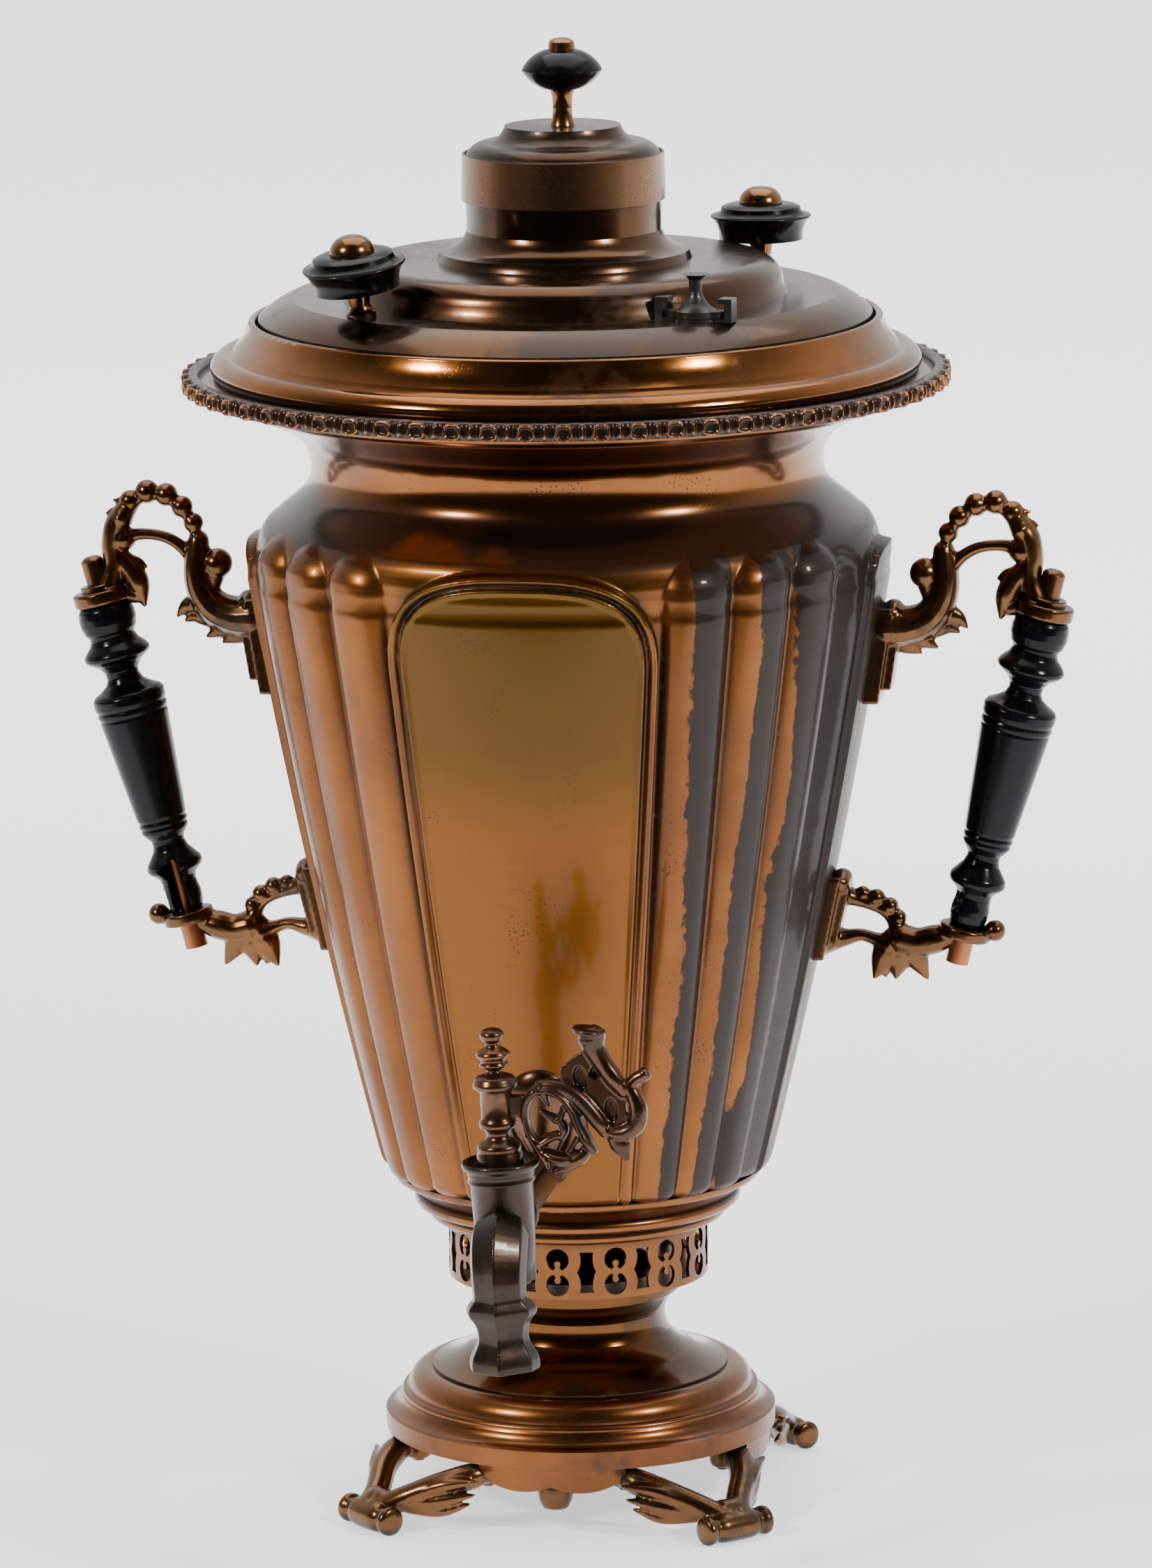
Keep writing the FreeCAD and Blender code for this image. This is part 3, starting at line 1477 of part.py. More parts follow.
key_seat = size.barrel_top - 2 + size.seat_gap
stub = size.end_nut_height + size.plug_washer_thick + 0.6
key_foot = -size.barrel_foot - 0.1
key_turned = turned("key_turned", [
    (0, key_foot - stub),
    (size.plug_foot_radius * 0.55, key_foot - stub),
    (size.plug_foot_radius * 0.55, key_foot),
    (size.plug_foot_radius, key_foot + 0.1),
    (size.plug_top_radius - 0.01, size.barrel_top - 2),
    (size.plug_top_radius - 0.01, key_seat),
    (size.plug_top_radius + 1.2, key_seat),
    (size.plug_top_radius + 1.2, key_seat + 4.6),
    (size.key_flange_radius * 0.6, key_seat + 7.6, -0.4),
    (size.key_flange_radius * 0.53, key_seat + 9.4),
    (size.spool_radius + 0.9, key_seat + 12.6, 0.2),
    (size.spool_radius + 0.9, key_seat + 14.6, -0.3),
    (size.spool_radius, key_seat + 15.8),
    (size.spool_radius, key_seat + 25),
    (size.key_flange_radius, key_seat + 26.6),
    (size.key_flange_radius, key_seat + 28.6, -0.3),
    (size.spool_radius * 0.9, key_seat + 31),
    (size.spool_radius * 0.5, key_seat + 31.8),
    (0, key_seat + 31.8),
])


def lever():
    """The openwork key lever: a scroll web with pierced holes, in the plane of the plug's axis."""
    half = size.lever_thick.value / 2
    reach = size.lever_reach.value
    rod = half * 1.05
    base = key_seat.value

    def point(x, z):
        return Vector(x * reach / 50.0, 0, base + z)

    def rod_through(corners, radii):
        return tube([point(x, z) for x, z in corners], radii)

    web = [(22, 34), (29, 43), (36, 42), (45, 33), (43, 22), (39, 13), (33, 12), (27, 24)]
    turns = [math.radians(angle) for angle in range(0, 361, 45)]
    loop = [point(15 + 8.2 * math.cos(turn), 20 + 9.4 * math.sin(turn)) for turn in turns]
    pieces = [
        prism([point(x, z) for x, z in web], Vector(0, -half * 0.7, 0), Vector(0, half * 1.4, 0)),
        Part.makeBox(6, half * 1.6, 8, point(4.4, 16.6) + Vector(0, -half * 0.8, 0)),
        rod_through([(16, 29), (23, 26), (29, 17), (33, 9)], [rod, rod, rod, rod * 0.8]),
        rod_through([(30, 42), (31, 48)], [rod * 1.4, rod * 1.2]),
        Part.makeCone(rod * 1.3, 6, 1.8, point(31.5, 47.5), Vector(0.15, 0, 1)),
        rod_through([(40, 40), (45, 33.5), (50, 34.5)], [rod * 0.9, rod * 0.8, rod]),
        rod_through([(50, 34.5), (49, 23), (43, 12), (35, 12.5)], [rod, rod * 0.85, rod, rod * 0.8]),
        ball(point(50, 34.5), rod * 1.2),
        rod_through([(37, 12), (40, 8), (42, 4.5)], [rod, rod * 1.2, rod * 0.3]),
        rod_through([(9, 14), (14, 6.5), (20, 6), (24, 9.5)], [rod * 0.7, rod * 0.8, rod * 0.8, rod * 0.5]),
    ]
    for i in range(8):
        pieces.append(tube([loop[i], loop[i + 1]], [rod * 0.95, rod * 0.95]))
        pieces.append(ball(loop[i], rod * 0.95))
    shape = fuse(pieces[0], pieces[1:])
    holes = []
    for x, z, radius in ((28.5, 32, 2.6), (34.5, 34.5, 1.9), (37.5, 21, 2.6)):
        middle = point(x, z)
        holes.append(bored(radius, middle - Vector(0, 10, 0), middle + Vector(0, 10, 0)))
    return shape.cut(holes)


document.recompute()
port = bored(bore, Vector(-20, 0, 0), Vector(20, 0, 0))
spool_core = size.spool_radius.value - 0.6
core = bored(spool_core, Vector(0, 0, key_seat.value + 1), Vector(0, 0, key_seat.value + 30))
key_shape = key_turned.Shape.fuse([lever().cut(core)]).cut(port)
solid_node("tap_key", key_shape, tap_frame)
finial_low = key_seat + 31.8
turned_node("tap_finial", [
    (0, finial_low),
    (size.finial_radius * 0.43, finial_low),
    (size.finial_radius * 0.43, finial_low + 2),
    (size.finial_radius * 0.8, finial_low + 4.6, -0.4),
    (size.finial_radius * 0.55, finial_low + 6.4),
    (size.finial_radius, finial_low + 9.6, 0.1),
    (size.finial_radius * 0.4, finial_low + 13, 0.2),
    (size.finial_ball * 0.5, finial_low + 14),
    (size.dome_flat, finial_low + 14 + size.finial_ball * 1.9, -0.9),
    (0, finial_low + 14 + size.finial_ball * 1.9),
], tap_frame)
turned_node("tap_washer", [
    (size.plug_foot_radius * 0.55 + 0.1, key_foot - 0.1),
    (size.plug_foot_radius * 0.55 + 0.1, key_foot - size.plug_washer_thick),
    (size.plug_washer_radius, key_foot - size.plug_washer_thick),
    (size.plug_washer_radius, key_foot - 0.1),
], tap_frame)
turned_node("tap_end_nut", [
    (size.plug_foot_radius * 0.55 + 0.1, key_foot - size.plug_washer_thick),
    (size.plug_foot_radius * 0.55 + 0.1, key_foot - size.plug_washer_thick - size.end_nut_height),
    (size.end_nut_radius * 0.7, key_foot - size.plug_washer_thick - size.end_nut_height),
    (size.end_nut_radius, key_foot - size.plug_washer_thick - 1),
    (size.end_nut_radius, key_foot - size.plug_washer_thick),
], tap_frame)


shank_clear = bored(
    size.shank_radius.value + size.slip_gap.value,
    Vector(0, 0, size.tap_height.value), Vector(0, -150, size.tap_height.value))


def escutcheon():
    """The oval shell rosette behind the tap, domed and fitted to the body."""
    centre = size.escutcheon_centre.value
    shape = Part.makeSphere(1)
    scale = FreeCAD.Matrix()
    half_width = size.escutcheon_half_width.value
    half_height = size.escutcheon_half_height.value
    scale.scale(half_width, size.escutcheon_depth.value, half_height)
    shape = shape.transformGeometry(scale)
    lean = math.degrees(math.atan((crest_at(centre + 10) - crest_at(centre - 10)) / 20))
    shape.rotate(Vector(), Vector(1, 0, 0), lean)
    shape.translate(Vector(0, size.panel_sink.value - crest_at(centre), centre))
    return shape.cut([outer_form, shank_clear])


solid_node("tap_escutcheon", escutcheon())

# Inside the body a leather washer, shaped to the wall, and a ring nut hold the shank
nut_face = size.shank_end.value + size.lock_nut_thick.value + 1.4
gasket = bored(
    size.gasket_radius.value,
    Vector(0, -nut_face, size.tap_height.value), Vector(0, -nut_face - 20, size.tap_height.value))
solid_node("tap_gasket", gasket.common(hollow).cut(shank_clear))
turned_node("tap_lock_nut", [
    (size.shank_radius + size.slip_gap, 0),
    (size.lock_nut_radius, 0),
    (size.lock_nut_radius, size.lock_nut_thick - 0.8),
    (size.lock_nut_radius - 0.8, size.lock_nut_thick),
    (size.shank_radius + size.slip_gap, size.lock_nut_thick),
], Placement(Vector(0, -nut_face, size.tap_height.value), Rotation(Vector(1, 0, 0), -90)))

# Write every sub-part, after checking every object and shape
document.recompute()
for item in document.Objects:
    if "Invalid" in item.State or "Error" in item.State:
        raise RuntimeError("%s failed: %s" % (item.Label, item.State))
for item in nodes:
    if item.Shape.isNull() or not item.Shape.isValid():
        raise RuntimeError("%s has no valid shape" % item.Label)
os.makedirs("parts", exist_ok=True)
for item in nodes:
    print(item.Label, "solids", len(item.Shape.Solids), "volume %.0f" % item.Shape.Volume)
    item.Shape.exportStep("parts/%s.step" % item.Label)
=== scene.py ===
import bmesh
import bpy
import math
from functools import partial
from mathutils import Matrix, Vector, noise


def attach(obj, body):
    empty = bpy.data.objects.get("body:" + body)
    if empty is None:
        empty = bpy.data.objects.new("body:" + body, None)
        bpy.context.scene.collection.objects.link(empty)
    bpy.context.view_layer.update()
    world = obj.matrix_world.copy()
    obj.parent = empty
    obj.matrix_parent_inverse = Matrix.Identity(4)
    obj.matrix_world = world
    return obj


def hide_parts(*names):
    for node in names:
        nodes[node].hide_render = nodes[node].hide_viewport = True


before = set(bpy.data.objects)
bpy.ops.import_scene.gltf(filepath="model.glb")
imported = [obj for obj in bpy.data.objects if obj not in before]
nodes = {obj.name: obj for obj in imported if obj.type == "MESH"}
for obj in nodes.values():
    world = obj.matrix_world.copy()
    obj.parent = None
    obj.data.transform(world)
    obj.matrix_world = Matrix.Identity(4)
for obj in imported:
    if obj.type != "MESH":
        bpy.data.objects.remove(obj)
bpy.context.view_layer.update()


# Feet
# Each foot is one copper-alloy casting, antiqued dark and rubbed back on its high places, its hollows
# darkened by oxide and by painted shade.
# Two leafy wings grow out of a rolled toe and are riveted under the plinth's flange.
MM = 0.001


def linear(code):
    """An sRGB hex colour as the linear values that a shader takes."""
    channels = [int(code[i:i + 2], 16) / 255 for i in (1, 3, 5)]
    return [c / 12.92 if c <= 0.04045 else ((c + 0.055) / 1.055) ** 2.4 for c in channels] + [1.0]


def add_node(tree, kind, inputs=(), out=0, **settings):
    """Adds one shader node, sets it, fills its inputs with values or links, and gives one output."""
    node = tree.nodes.new("ShaderNode" + kind)
    for key, value in settings.items():
        setattr(node, key, value)
    for key, value in inputs.items() if isinstance(inputs, dict) else enumerate(inputs):
        if isinstance(value, bpy.types.NodeSocket):
            tree.links.new(value, node.inputs[key])
        else:
            node.inputs[key].default_value = value
    return node.outputs[out] if node.outputs else None


def new_finish(name):
    """An empty material, and add_node tied to its tree."""
    material = bpy.data.materials.new(name)
    material.use_nodes = True
    material.node_tree.nodes.clear()
    return material, partial(add_node, material.node_tree)


# Settings that many nodes share: a range that eases in and out, a mix of the colours in sockets 6 and 7,
# a product, and a product with a third value added
soft = {"interpolation_type": "SMOOTHSTEP"}
colours = {"out": 2, "data_type": "RGBA"}
times = {"operation": "MULTIPLY"}
times_plus = {"operation": "MULTIPLY_ADD"}


def grain(node, place, size_mm, detail=4.0, stretch=(1, 1, 1)):
    """Noise whose features are about size_mm across, stretched along the axes."""
    spot = node("VectorMath", [place, stretch], **times)
    return node("TexNoise", {"Vector": spot, "Scale": 1000 / size_mm, "Detail": detail, "Roughness": 0.6})


def antiqued_metal(
        name, rubbed, oxide, tarnish="#55604F", coverage=0.4, pits=0.4, shine=0.24, brushed=0.0,
        hollows=1.0, dark=None, gold=None, polish=None):
    """Copper alloy, chemically darkened, rubbed back by hand and lacquered.

    The eye sees orange-brown metal on the high places, grey-brown oxide in the hollows,
    which are also darkened as painted shade by how enclosed they are,
    a clear lacquer gloss over both, and small dark pits where the lacquer has failed.
    """
    hollow_reach = 6 * MM
    pit_spacing = 1.4
    brush_spacing = 0.7
    material, node = new_finish(name)
    place = node("TexCoord", out="Object")
    clouds = grain(node, place, 60)
    mottle = grain(node, place, 4, 6.0)
    # Occlusion darkens the hollows, standing partly for the oxide left in them and partly for painted
    # shade.
    openness = node("AmbientOcclusion", {"Distance": hollow_reach}, "AO", samples=6)
    hollow_oxide_and_shade = node("MapRange", [openness, 0.40, 0.88, hollows, 0.0], **soft)
    patch = node("Math", [mottle, 0.25, clouds], **times_plus)
    patch = node("MapRange", [patch, 0.84 - 0.40 * coverage, 1.00 - 0.40 * coverage, 0.0, 0.7], **soft)
    cover = node("Math", [patch, hollow_oxide_and_shade], operation="MAXIMUM")
    if dark:
        cover = node("Math", [cover, dark(node, place, mottle)], operation="MAXIMUM")
    cell = node("TexVoronoi", {"Vector": place, "Scale": 1000 / pit_spacing}, "Distance")
    failed = node("MapRange", [grain(node, place, 26, 3.0), 0.66 - 0.2 * pits, 0.74 - 0.1 * pits], **soft)
    dot = node("MapRange", [cell, 0.14, 0.30, 1.0, 0.0], **soft)
    dot = node("Math", [dot, failed], **times)
    pit = node("Math", [dot, 0.9], **times)
    cover = node("Math", [cover, pit], operation="MAXIMUM", use_clamp=True)
    drift = node("MapRange", [grain(node, place, 80), 0.35, 0.65], **soft)
    colour = node("Mix", {0: drift, 6: linear(rubbed[0]), 7: linear(rubbed[1])}, **colours)
    if gold:
        colour = gold(node, place, colour)
    colour = node("Mix", {0: cover, 6: colour, 7: linear(oxide)}, **colours)
    green = node("MapRange", [mottle, 0.55, 0.70, 0.0, 0.5], **soft)
    green = node("Math", [hollow_oxide_and_shade, green], **times)
    colour = node("Mix", {0: green, 6: colour, 7: linear(tarnish)}, **colours)
    lines = grain(node, place, brush_spacing, 2.0, (0.04, 0.04, 1))
    rough = node("MapRange", [cover, 0.0, 1.0, shine, shine + 0.14], **soft)
    rough = node("Math", [mottle, 0.08, rough], **times_plus)
    rough = node("Math", [lines, 0.2 * brushed, rough], **times_plus)
    if polish:
        rough = node("Math", [rough, polish(node, place)], **times)
    relief = node("Math", [mottle, 0.3], **times)
    relief = node("Math", [relief, dot], operation="SUBTRACT")
    relief = node("Math", [lines, 0.5 * brushed, relief], **times_plus)
    surface = node("BsdfPrincipled", {
        "Base Color": colour,
        "Metallic": node("MapRange", [cover, 0.0, 1.0, 1.0, 0.7], **soft),
        "Roughness": rough,
        "Normal": node("Bump", {"Strength": 0.12, "Distance": 0.2 * MM, "Height": relief}),
        "Coat Weight": 0.25,
        "Coat Roughness": 0.1,
    })
    node("OutputMaterial", {"Surface": surface})
    return material


cast_copper = antiqued_metal(
    "antiqued_cast_copper", ("#76502F", "#5C3E24"), "#221B15", coverage=0.5, shine=0.22)


def paint(material, *names):
    """Gives CAD sub-parts their finish."""
    for name in names:
        nodes[name].data.materials.clear()
        nodes[name].data.materials.append(material)


def put_in_scene(name, data):
    """A mesh, light or camera as an object of the scene."""
    item = bpy.data.objects.new(name, data)
    bpy.context.scene.collection.objects.link(item)
    return item


def new_piece(name, mesh, body, material, smooth=True):
    """A finished mesh as an object of the part, riding on its body."""
    piece = put_in_scene(name, mesh)
    mesh.materials.clear()
    mesh.materials.append(material)
    if smooth:
        mesh.shade_smooth()
    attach(piece, body)
    return piece


def join_rings(shape, rings, closed=False):
    """Faces between neighbouring rings of corners; rings that aren't closed get a face at each end."""
    count = len(rings[0])
    for here, there in zip(rings, rings[1:] + rings[:1] if closed else rings[1:]):
        for k in range(count):
            shape.faces.new((here[k], here[(k + 1) % count], there[(k + 1) % count], there[k]))
    if not closed:
        shape.faces.new(rings[0][::-1])
        shape.faces.new(rings[-1])


def as_mesh(name, shape):
    """A finished shape as a mesh, with its faces turned outwards."""
    bmesh.ops.recalc_face_normals(shape, faces=shape.faces)
    mesh = bpy.data.meshes.new(name)
    shape.to_mesh(mesh)
    shape.free()
    return mesh


def circle(count):
    """Points spaced evenly round a circle of radius 1."""
    turns = [2 * math.pi * k / count for k in range(count)]
    return [(math.cos(a), math.sin(a)) for a in turns]


def smooth_line(points, steps=6):
    """Rows of numbers on a smooth curve through the given rows, such as (x, y, z, radius)."""
    rows = [Vector(p) for p in points]
    rows = [rows[0] * 2 - rows[1]] + rows + [rows[-1] * 2 - rows[-2]]
    line = []
    for i in range(1, len(rows) - 2):
        a, b, c, d = rows[i - 1:i + 3]
        for k in range(steps):
            t = k / steps
            bend = (2 * a - 5 * b + 4 * c - d) * t * t
            line.append(0.5 * (2 * b + (c - a) * t + bend + (3 * b - a - 3 * c + d) * t ** 3))
    line.append(rows[-2])
    return line


def add_bar(shape, points, flat, across=(0, 1, 0)):
    """Adds a smooth bar with round ends; flat squeezes it along the across direction."""
    sides = 14
    line = smooth_line(points)
    first, last = line[0], line[-1]
    head = [first - (line[1] - first).normalized() * (first[3] * k) for k in (0.85, 0.5)]
    tail = [last + (last - line[-2]).normalized() * (last[3] * k) for k in (0.5, 0.85)]
    for row, size in zip(head + tail, (0.5, 0.86, 0.86, 0.5)):
        row[3] = (first if row in head else last)[3] * size
    line = head + line + tail
    rings = []
    cross = Vector(across)
    for i, row in enumerate(line):
        spot = Vector(row[:3])
        ahead = Vector(line[min(i + 1, len(line) - 1)][:3]) - Vector(line[max(i - 1, 0)][:3])
        side = ahead.cross(cross).normalized()
        other = side.cross(ahead).normalized()
        radius = max(row[3], 0.15)
        rings.append([
            shape.verts.new((spot + side * (radius * x) + other * (radius * flat * y)) * MM)
            for x, y in circle(sides)
        ])
    join_rings(shape, rings)


def add_ball(shape, centre, radius, squash):
    made = bmesh.ops.create_uvsphere(shape, u_segments=20, v_segments=12, radius=radius * MM)
    for vert in made["verts"]:
        vert.co = Vector([a * b for a, b in zip(vert.co, squash)]) + Vector(centre) * MM


def add_drum(shape, start, end, profile, sides=40):
    """Adds a turned form along a line; the profile is (share of the way, radius) rows."""
    start, end = Vector(start), Vector(end)
    way = (end - start).normalized()
    side = way.orthogonal().normalized()
    other = way.cross(side)
    rings = []
    for share, radius in profile:
        spot = start.lerp(end, share)
        rings.append([
            shape.verts.new((spot + (side * x + other * y) * max(radius, 0.05)) * MM)
            for x, y in circle(sides)
        ])
    join_rings(shape, rings)


def worked(raw):
    """The mesh that an object's modifiers leave; the object itself is removed."""
    done = bpy.data.meshes.new_from_object(raw.evaluated_get(bpy.context.evaluated_depsgraph_get()))
    bpy.data.objects.remove(raw)
    return done


def cast(name, shape, voxel_mm=0.7, rounds=3):
    """Runs separate forms together into one casting with softened joints."""
    raw = put_in_scene(name + "_raw", as_mesh(name, shape))
    join = raw.modifiers.new("join", "REMESH")
    join.mode = "VOXEL"
    join.voxel_size = voxel_mm * MM
    soften = raw.modifiers.new("soften", "SMOOTH")
    soften.iterations = rounds
    soften.factor = 0.5
    return worked(raw)


toe_ring = 90.5
toe_height = 4.9
toe_half = 14
flange_low = 24.0
pad_ring = 59
pad_spread = math.radians(21)
half_rolls = [
    (0, 2.6), (0.02, 4.6), (0.05, 5.1), (0.10, 5.1), (0.13, 4.7), (0.16, 3.9), (0.19, 3.8), (0.23, 4.7),
    (0.30, 5.1), (0.40, 5.2),
]
toe_rolls = half_rolls + [(1 - share, radius) for share, radius in reversed(half_rolls)]


def foot_mesh(name):
    """One foot, made pointing along -Y."""
    shape = bmesh.new()
    toe = (-toe_ring, toe_height + 0.2)
    add_drum(shape, (-toe_half, *toe), (toe_half, *toe), toe_rolls)
    for side in (-1, 1):
        arm = [
            (side * 2, -toe_ring + 1, 6.5, 5), (side * 8, -toe_ring + 9, 11, 4.6),
            (side * 16, -toe_ring + 17, 15.5, 4.8), (side * 22, -toe_ring + 26, 18.6, 5),
            (side * 23.5, -59, 19.6, 4.2),
        ]
        add_bar(shape, arm, 0.95, (0, 0, 1))
        for lift, reach, thick in ((0.5, 30.5, 3.4), (-4.6, 28.5, 3.2), (-8.6, 25.5, 2.4)):
            leaf = [
                (side * 10, -toe_ring + 10, 11 + lift * 0.4, thick),
                (side * 19, -toe_ring + 17, 16 + lift, thick + 0.2),
                (side * reach, -toe_ring + 24, 18.6 + lift, 0.9),
            ]
            add_bar(shape, leaf, 0.8, (0, 0, 1))
        add_ball(shape, (side * 1.6, -toe_ring + 4.5, 9.6), 4.6, (1.1, 1, 0.9))
        x, y = side * pad_ring * math.sin(pad_spread), -pad_ring * math.cos(pad_spread)
        add_drum(shape, (x, y, 15.4), (x, y, flange_low - 0.1), [(0, 4), (0.2, 4.6), (1, 4.6)])
    mesh = cast(name, shape)
    for vert in mesh.vertices:
        vert.co.z = min(max(vert.co.z, 0.0), flange_low * MM)
    return mesh


for foot_name, turn in (("front_right", 45), ("back_right", 135), ("back_left", 225), ("front_left", 315)):
    casting = foot_mesh("foot_casting_" + foot_name)
    casting.transform(Matrix.Rotation(math.radians(turn), 4, "Z"))
    foot = new_piece("foot_casting_" + foot_name, casting, "base", cast_copper)
    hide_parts("foot_" + foot_name)


# Plinth, neck and air gallery
# Spun copper sheet, soft-soldered ring on ring, with a pierced band that lets air to the fire.
# The rubbed bands stay bright, the coves between them are nearly black, partly oxide and partly painted
# shade, and the neck is nearly black too.
spun_copper = antiqued_metal(
    "antiqued_spun_copper", ("#84522A", "#683E20"), "#2E221C", coverage=0.4, pits=0.45, shine=0.2,
    brushed=0.5)
neck_copper = antiqued_metal(
    "dark_neck_copper", ("#6A421C", "#523214"), "#1C1612", coverage=0.7, pits=0.3, shine=0.12)
paint(spun_copper, "base_plinth", "gallery_floor", "body_foot_ring")
paint(neck_copper, "pedestal_neck")
paint(cast_copper, "foot_rivets", "base_stud")
gallery_radius = 45.5
gallery_middle = 88.5
gallery_half = 9.7
gallery_wall = 1.3
gallery_figures = 14
figure_half = math.pi * gallery_radius / gallery_figures
lobe_radius = 8.1
lobe_middle = 4.45
slot_half = 7.2
hole_radius = 4.0
knob_gap = 23
# The knob that stands into each hole from the figure's waist: (across, above the hole's middle)
knob = [
    (-1.5, -3.7), (-0.6, -2.9), (-1.1, -1.9), (-1, -0.9), (0, -0.4), (1, -0.9), (1.1, -1.9),
    (0.6, -2.9), (1.5, -3.7),
]


def gallery_figure():
    """One figure-of-eight and half of the slot on either side of it, as flat (across, up) outlines."""
    side = []
    steps = 28
    for k in range(steps + 1):
        up = slot_half * (1 - 2 * k / steps)
        side.append((math.sqrt(lobe_radius ** 2 - (abs(up) - lobe_middle) ** 2), up))
    right = [(figure_half, slot_half), *side, (figure_half, -slot_half)]
    top = [(figure_half * (2 * k / 20 - 1), gallery_half) for k in range(21)]
    bottom = [(x, -up) for x, up in reversed(top)]
    left = [(-x, up) for x, up in reversed(right)]
    upper = []
    for k in range(27):
        turn = math.radians(-90 + knob_gap + (360 - 2 * knob_gap) * k / 26)
        upper.append((hole_radius * math.cos(turn), lobe_middle + hole_radius * math.sin(turn)))
    upper += [(x, lobe_middle + up) for x, up in knob[1:-1]]
    lower = [(x, -up) for x, up in reversed(upper)]
    return top + right + bottom + left, [upper, lower]


def add_plate(shape, outlines, near, thick, unit=MM):
    """Adds a plate cut to (x, z) outlines, from the depth near backwards, all in the given unit."""
    edges = []
    for points in outlines:
        corners = [shape.verts.new((x * unit, near * unit, z * unit)) for x, z in points]
        edges += [shape.edges.new((a, b)) for a, b in zip(corners, corners[1:] + corners[:1])]
    made = bmesh.ops.triangle_fill(shape, use_beauty=True, edges=edges)["geom"]
    faces = [item for item in made if isinstance(item, bmesh.types.BMFace)]
    raised = bmesh.ops.extrude_face_region(shape, geom=faces, use_keep_orig=True)["geom"]
    for item in raised:
        if isinstance(item, bmesh.types.BMVert):
            item.co.y += thick * unit


def pierced_gallery():
    """The band, made of flat figures that are bent round one after the other."""
    outline, holes = gallery_figure()
    shape = bmesh.new()
    for figure in range(gallery_figures):
        add_plate(shape, (outline, *holes), 0, gallery_wall, 1)
        fresh = [v for v in shape.verts if not v.tag]
        ends = {v for v in fresh if abs(abs(v.co.x) - figure_half) < 1e-4}
        joins = [f for f in shape.faces if all(v in ends for v in f.verts)]
        bmesh.ops.delete(shape, geom=joins, context="FACES_ONLY")
        for vert in fresh:
            turn = vert.co.x / gallery_radius + 2 * math.pi * figure / gallery_figures
            radius = gallery_radius - vert.co.y
            level = gallery_middle + vert.co.z
            vert.co = Vector((radius * math.sin(turn), -radius * math.cos(turn), level)) * MM
            vert.tag = True
    bmesh.ops.remove_doubles(shape, verts=shape.verts, dist=0.02 * MM)
    return as_mesh("pierced_gallery", shape)


gallery = new_piece(
    "pierced_gallery", pierced_gallery(), "base", spun_copper, smooth=False)
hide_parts("air_gallery")


# Body
# One deep copper shell, pressed with upright flutes round two framed panels and two side strips.
# Its right side has lost its lacquer in ragged streaks and has gone dark grey-brown.
loft_foot = 110.8
loft_top = 350.8
body_foot = 116.8
# The crests of the flutes lie on a bent line through three radii
crest_foot, crest_middle, crest_top = 66.1, 93.6, 115.0
panel_edge = 26.5
side_edge = 67.7
strip_edge = 79.0
rib_pitch = (side_edge - panel_edge) / 3
head_top = 347.0
# Arched outlines of the panels and side strips: half width in degrees, spring and rise of the arch
panel_half, panel_spring, panel_rise = 26.0, 306, 39
side_half, side_spring, side_rise = 11.0, 328, 12
arch_power = 2.7
# The shell's outline from foot to mouth: (height, radius)
shoulder = [
    (116.8, 65), (119, 68.2), (124, 71.5), (300, 120), (322, 114.5), (328, 111.6), (334, 110.9),
    (338, 109.7), (341, 108.2), (344, 106.4), (347, 104), (350.5, 99.9), (355.4, 93.8), (358.5, 90.7),
    (362, 89), (366, 88.4), (370, 88.9), (374, 90.3), (378, 93.4), (381.5, 98.8), (384.5, 105.5),
    (387.5, 113.2), (390, 120), (392.3, 126.4), (395.4, 126.5),
]


def between(rows, x):
    """Straight interpolation in rows of (x, value)."""
    for (x0, y0), (x1, y1) in zip(rows, rows[1:]):
        if x <= x1:
            return y0 + (y1 - y0) * (x - x0) / (x1 - x0)
    return rows[-1][1]


def crest(z):
    share = (z - loft_foot) / (loft_top - loft_foot)
    bend = 2 * (crest_foot - 2 * crest_middle + crest_top)
    return crest_foot + (crest_top - crest_foot - bend) * share + bend * share * share


def ease(x, low, high):
    t = min(max((x - low) / (high - low), 0.0), 1.0)
    return t * t * (3 - 2 * t)


def soft_least(a, b, width):
    """The lesser of two radii, with the crease between them rounded."""
    t = min(max(0.5 + 0.5 * (b - a) / width, 0.0), 1.0)
    return b * (1 - t) + a * t - width * t * (1 - t)


def arch_distance(x, z, half, spring, rise):
    """How far inside an arched outline a point lies, in millimetres."""
    if z <= spring:
        return half - x
    y = z - spring
    level = ((x / half) ** arch_power + (y / rise) ** arch_power) ** (1 / arch_power)
    if level < 0.05:
        return min(half, rise)
    slope = math.hypot((x / half) ** (arch_power - 1) / half, (y / rise) ** (arch_power - 1) / rise)
    return (1 - level) / (slope * level ** (1 - arch_power))


# Height of the panel's moulded frame above the valleys, as a share of the flutes' depth
frame_profile = [
    (0, 0), (0.7, 0.50), (1.4, 0.86), (2.2, 1), (3, 0.88), (3.8, 0.56), (4.5, 0.36), (5.1, 0.44),
    (5.8, 0.72), (6.4, 0.78), (7, 0.66), (7.6, 0.58), (200, 0.58),
]


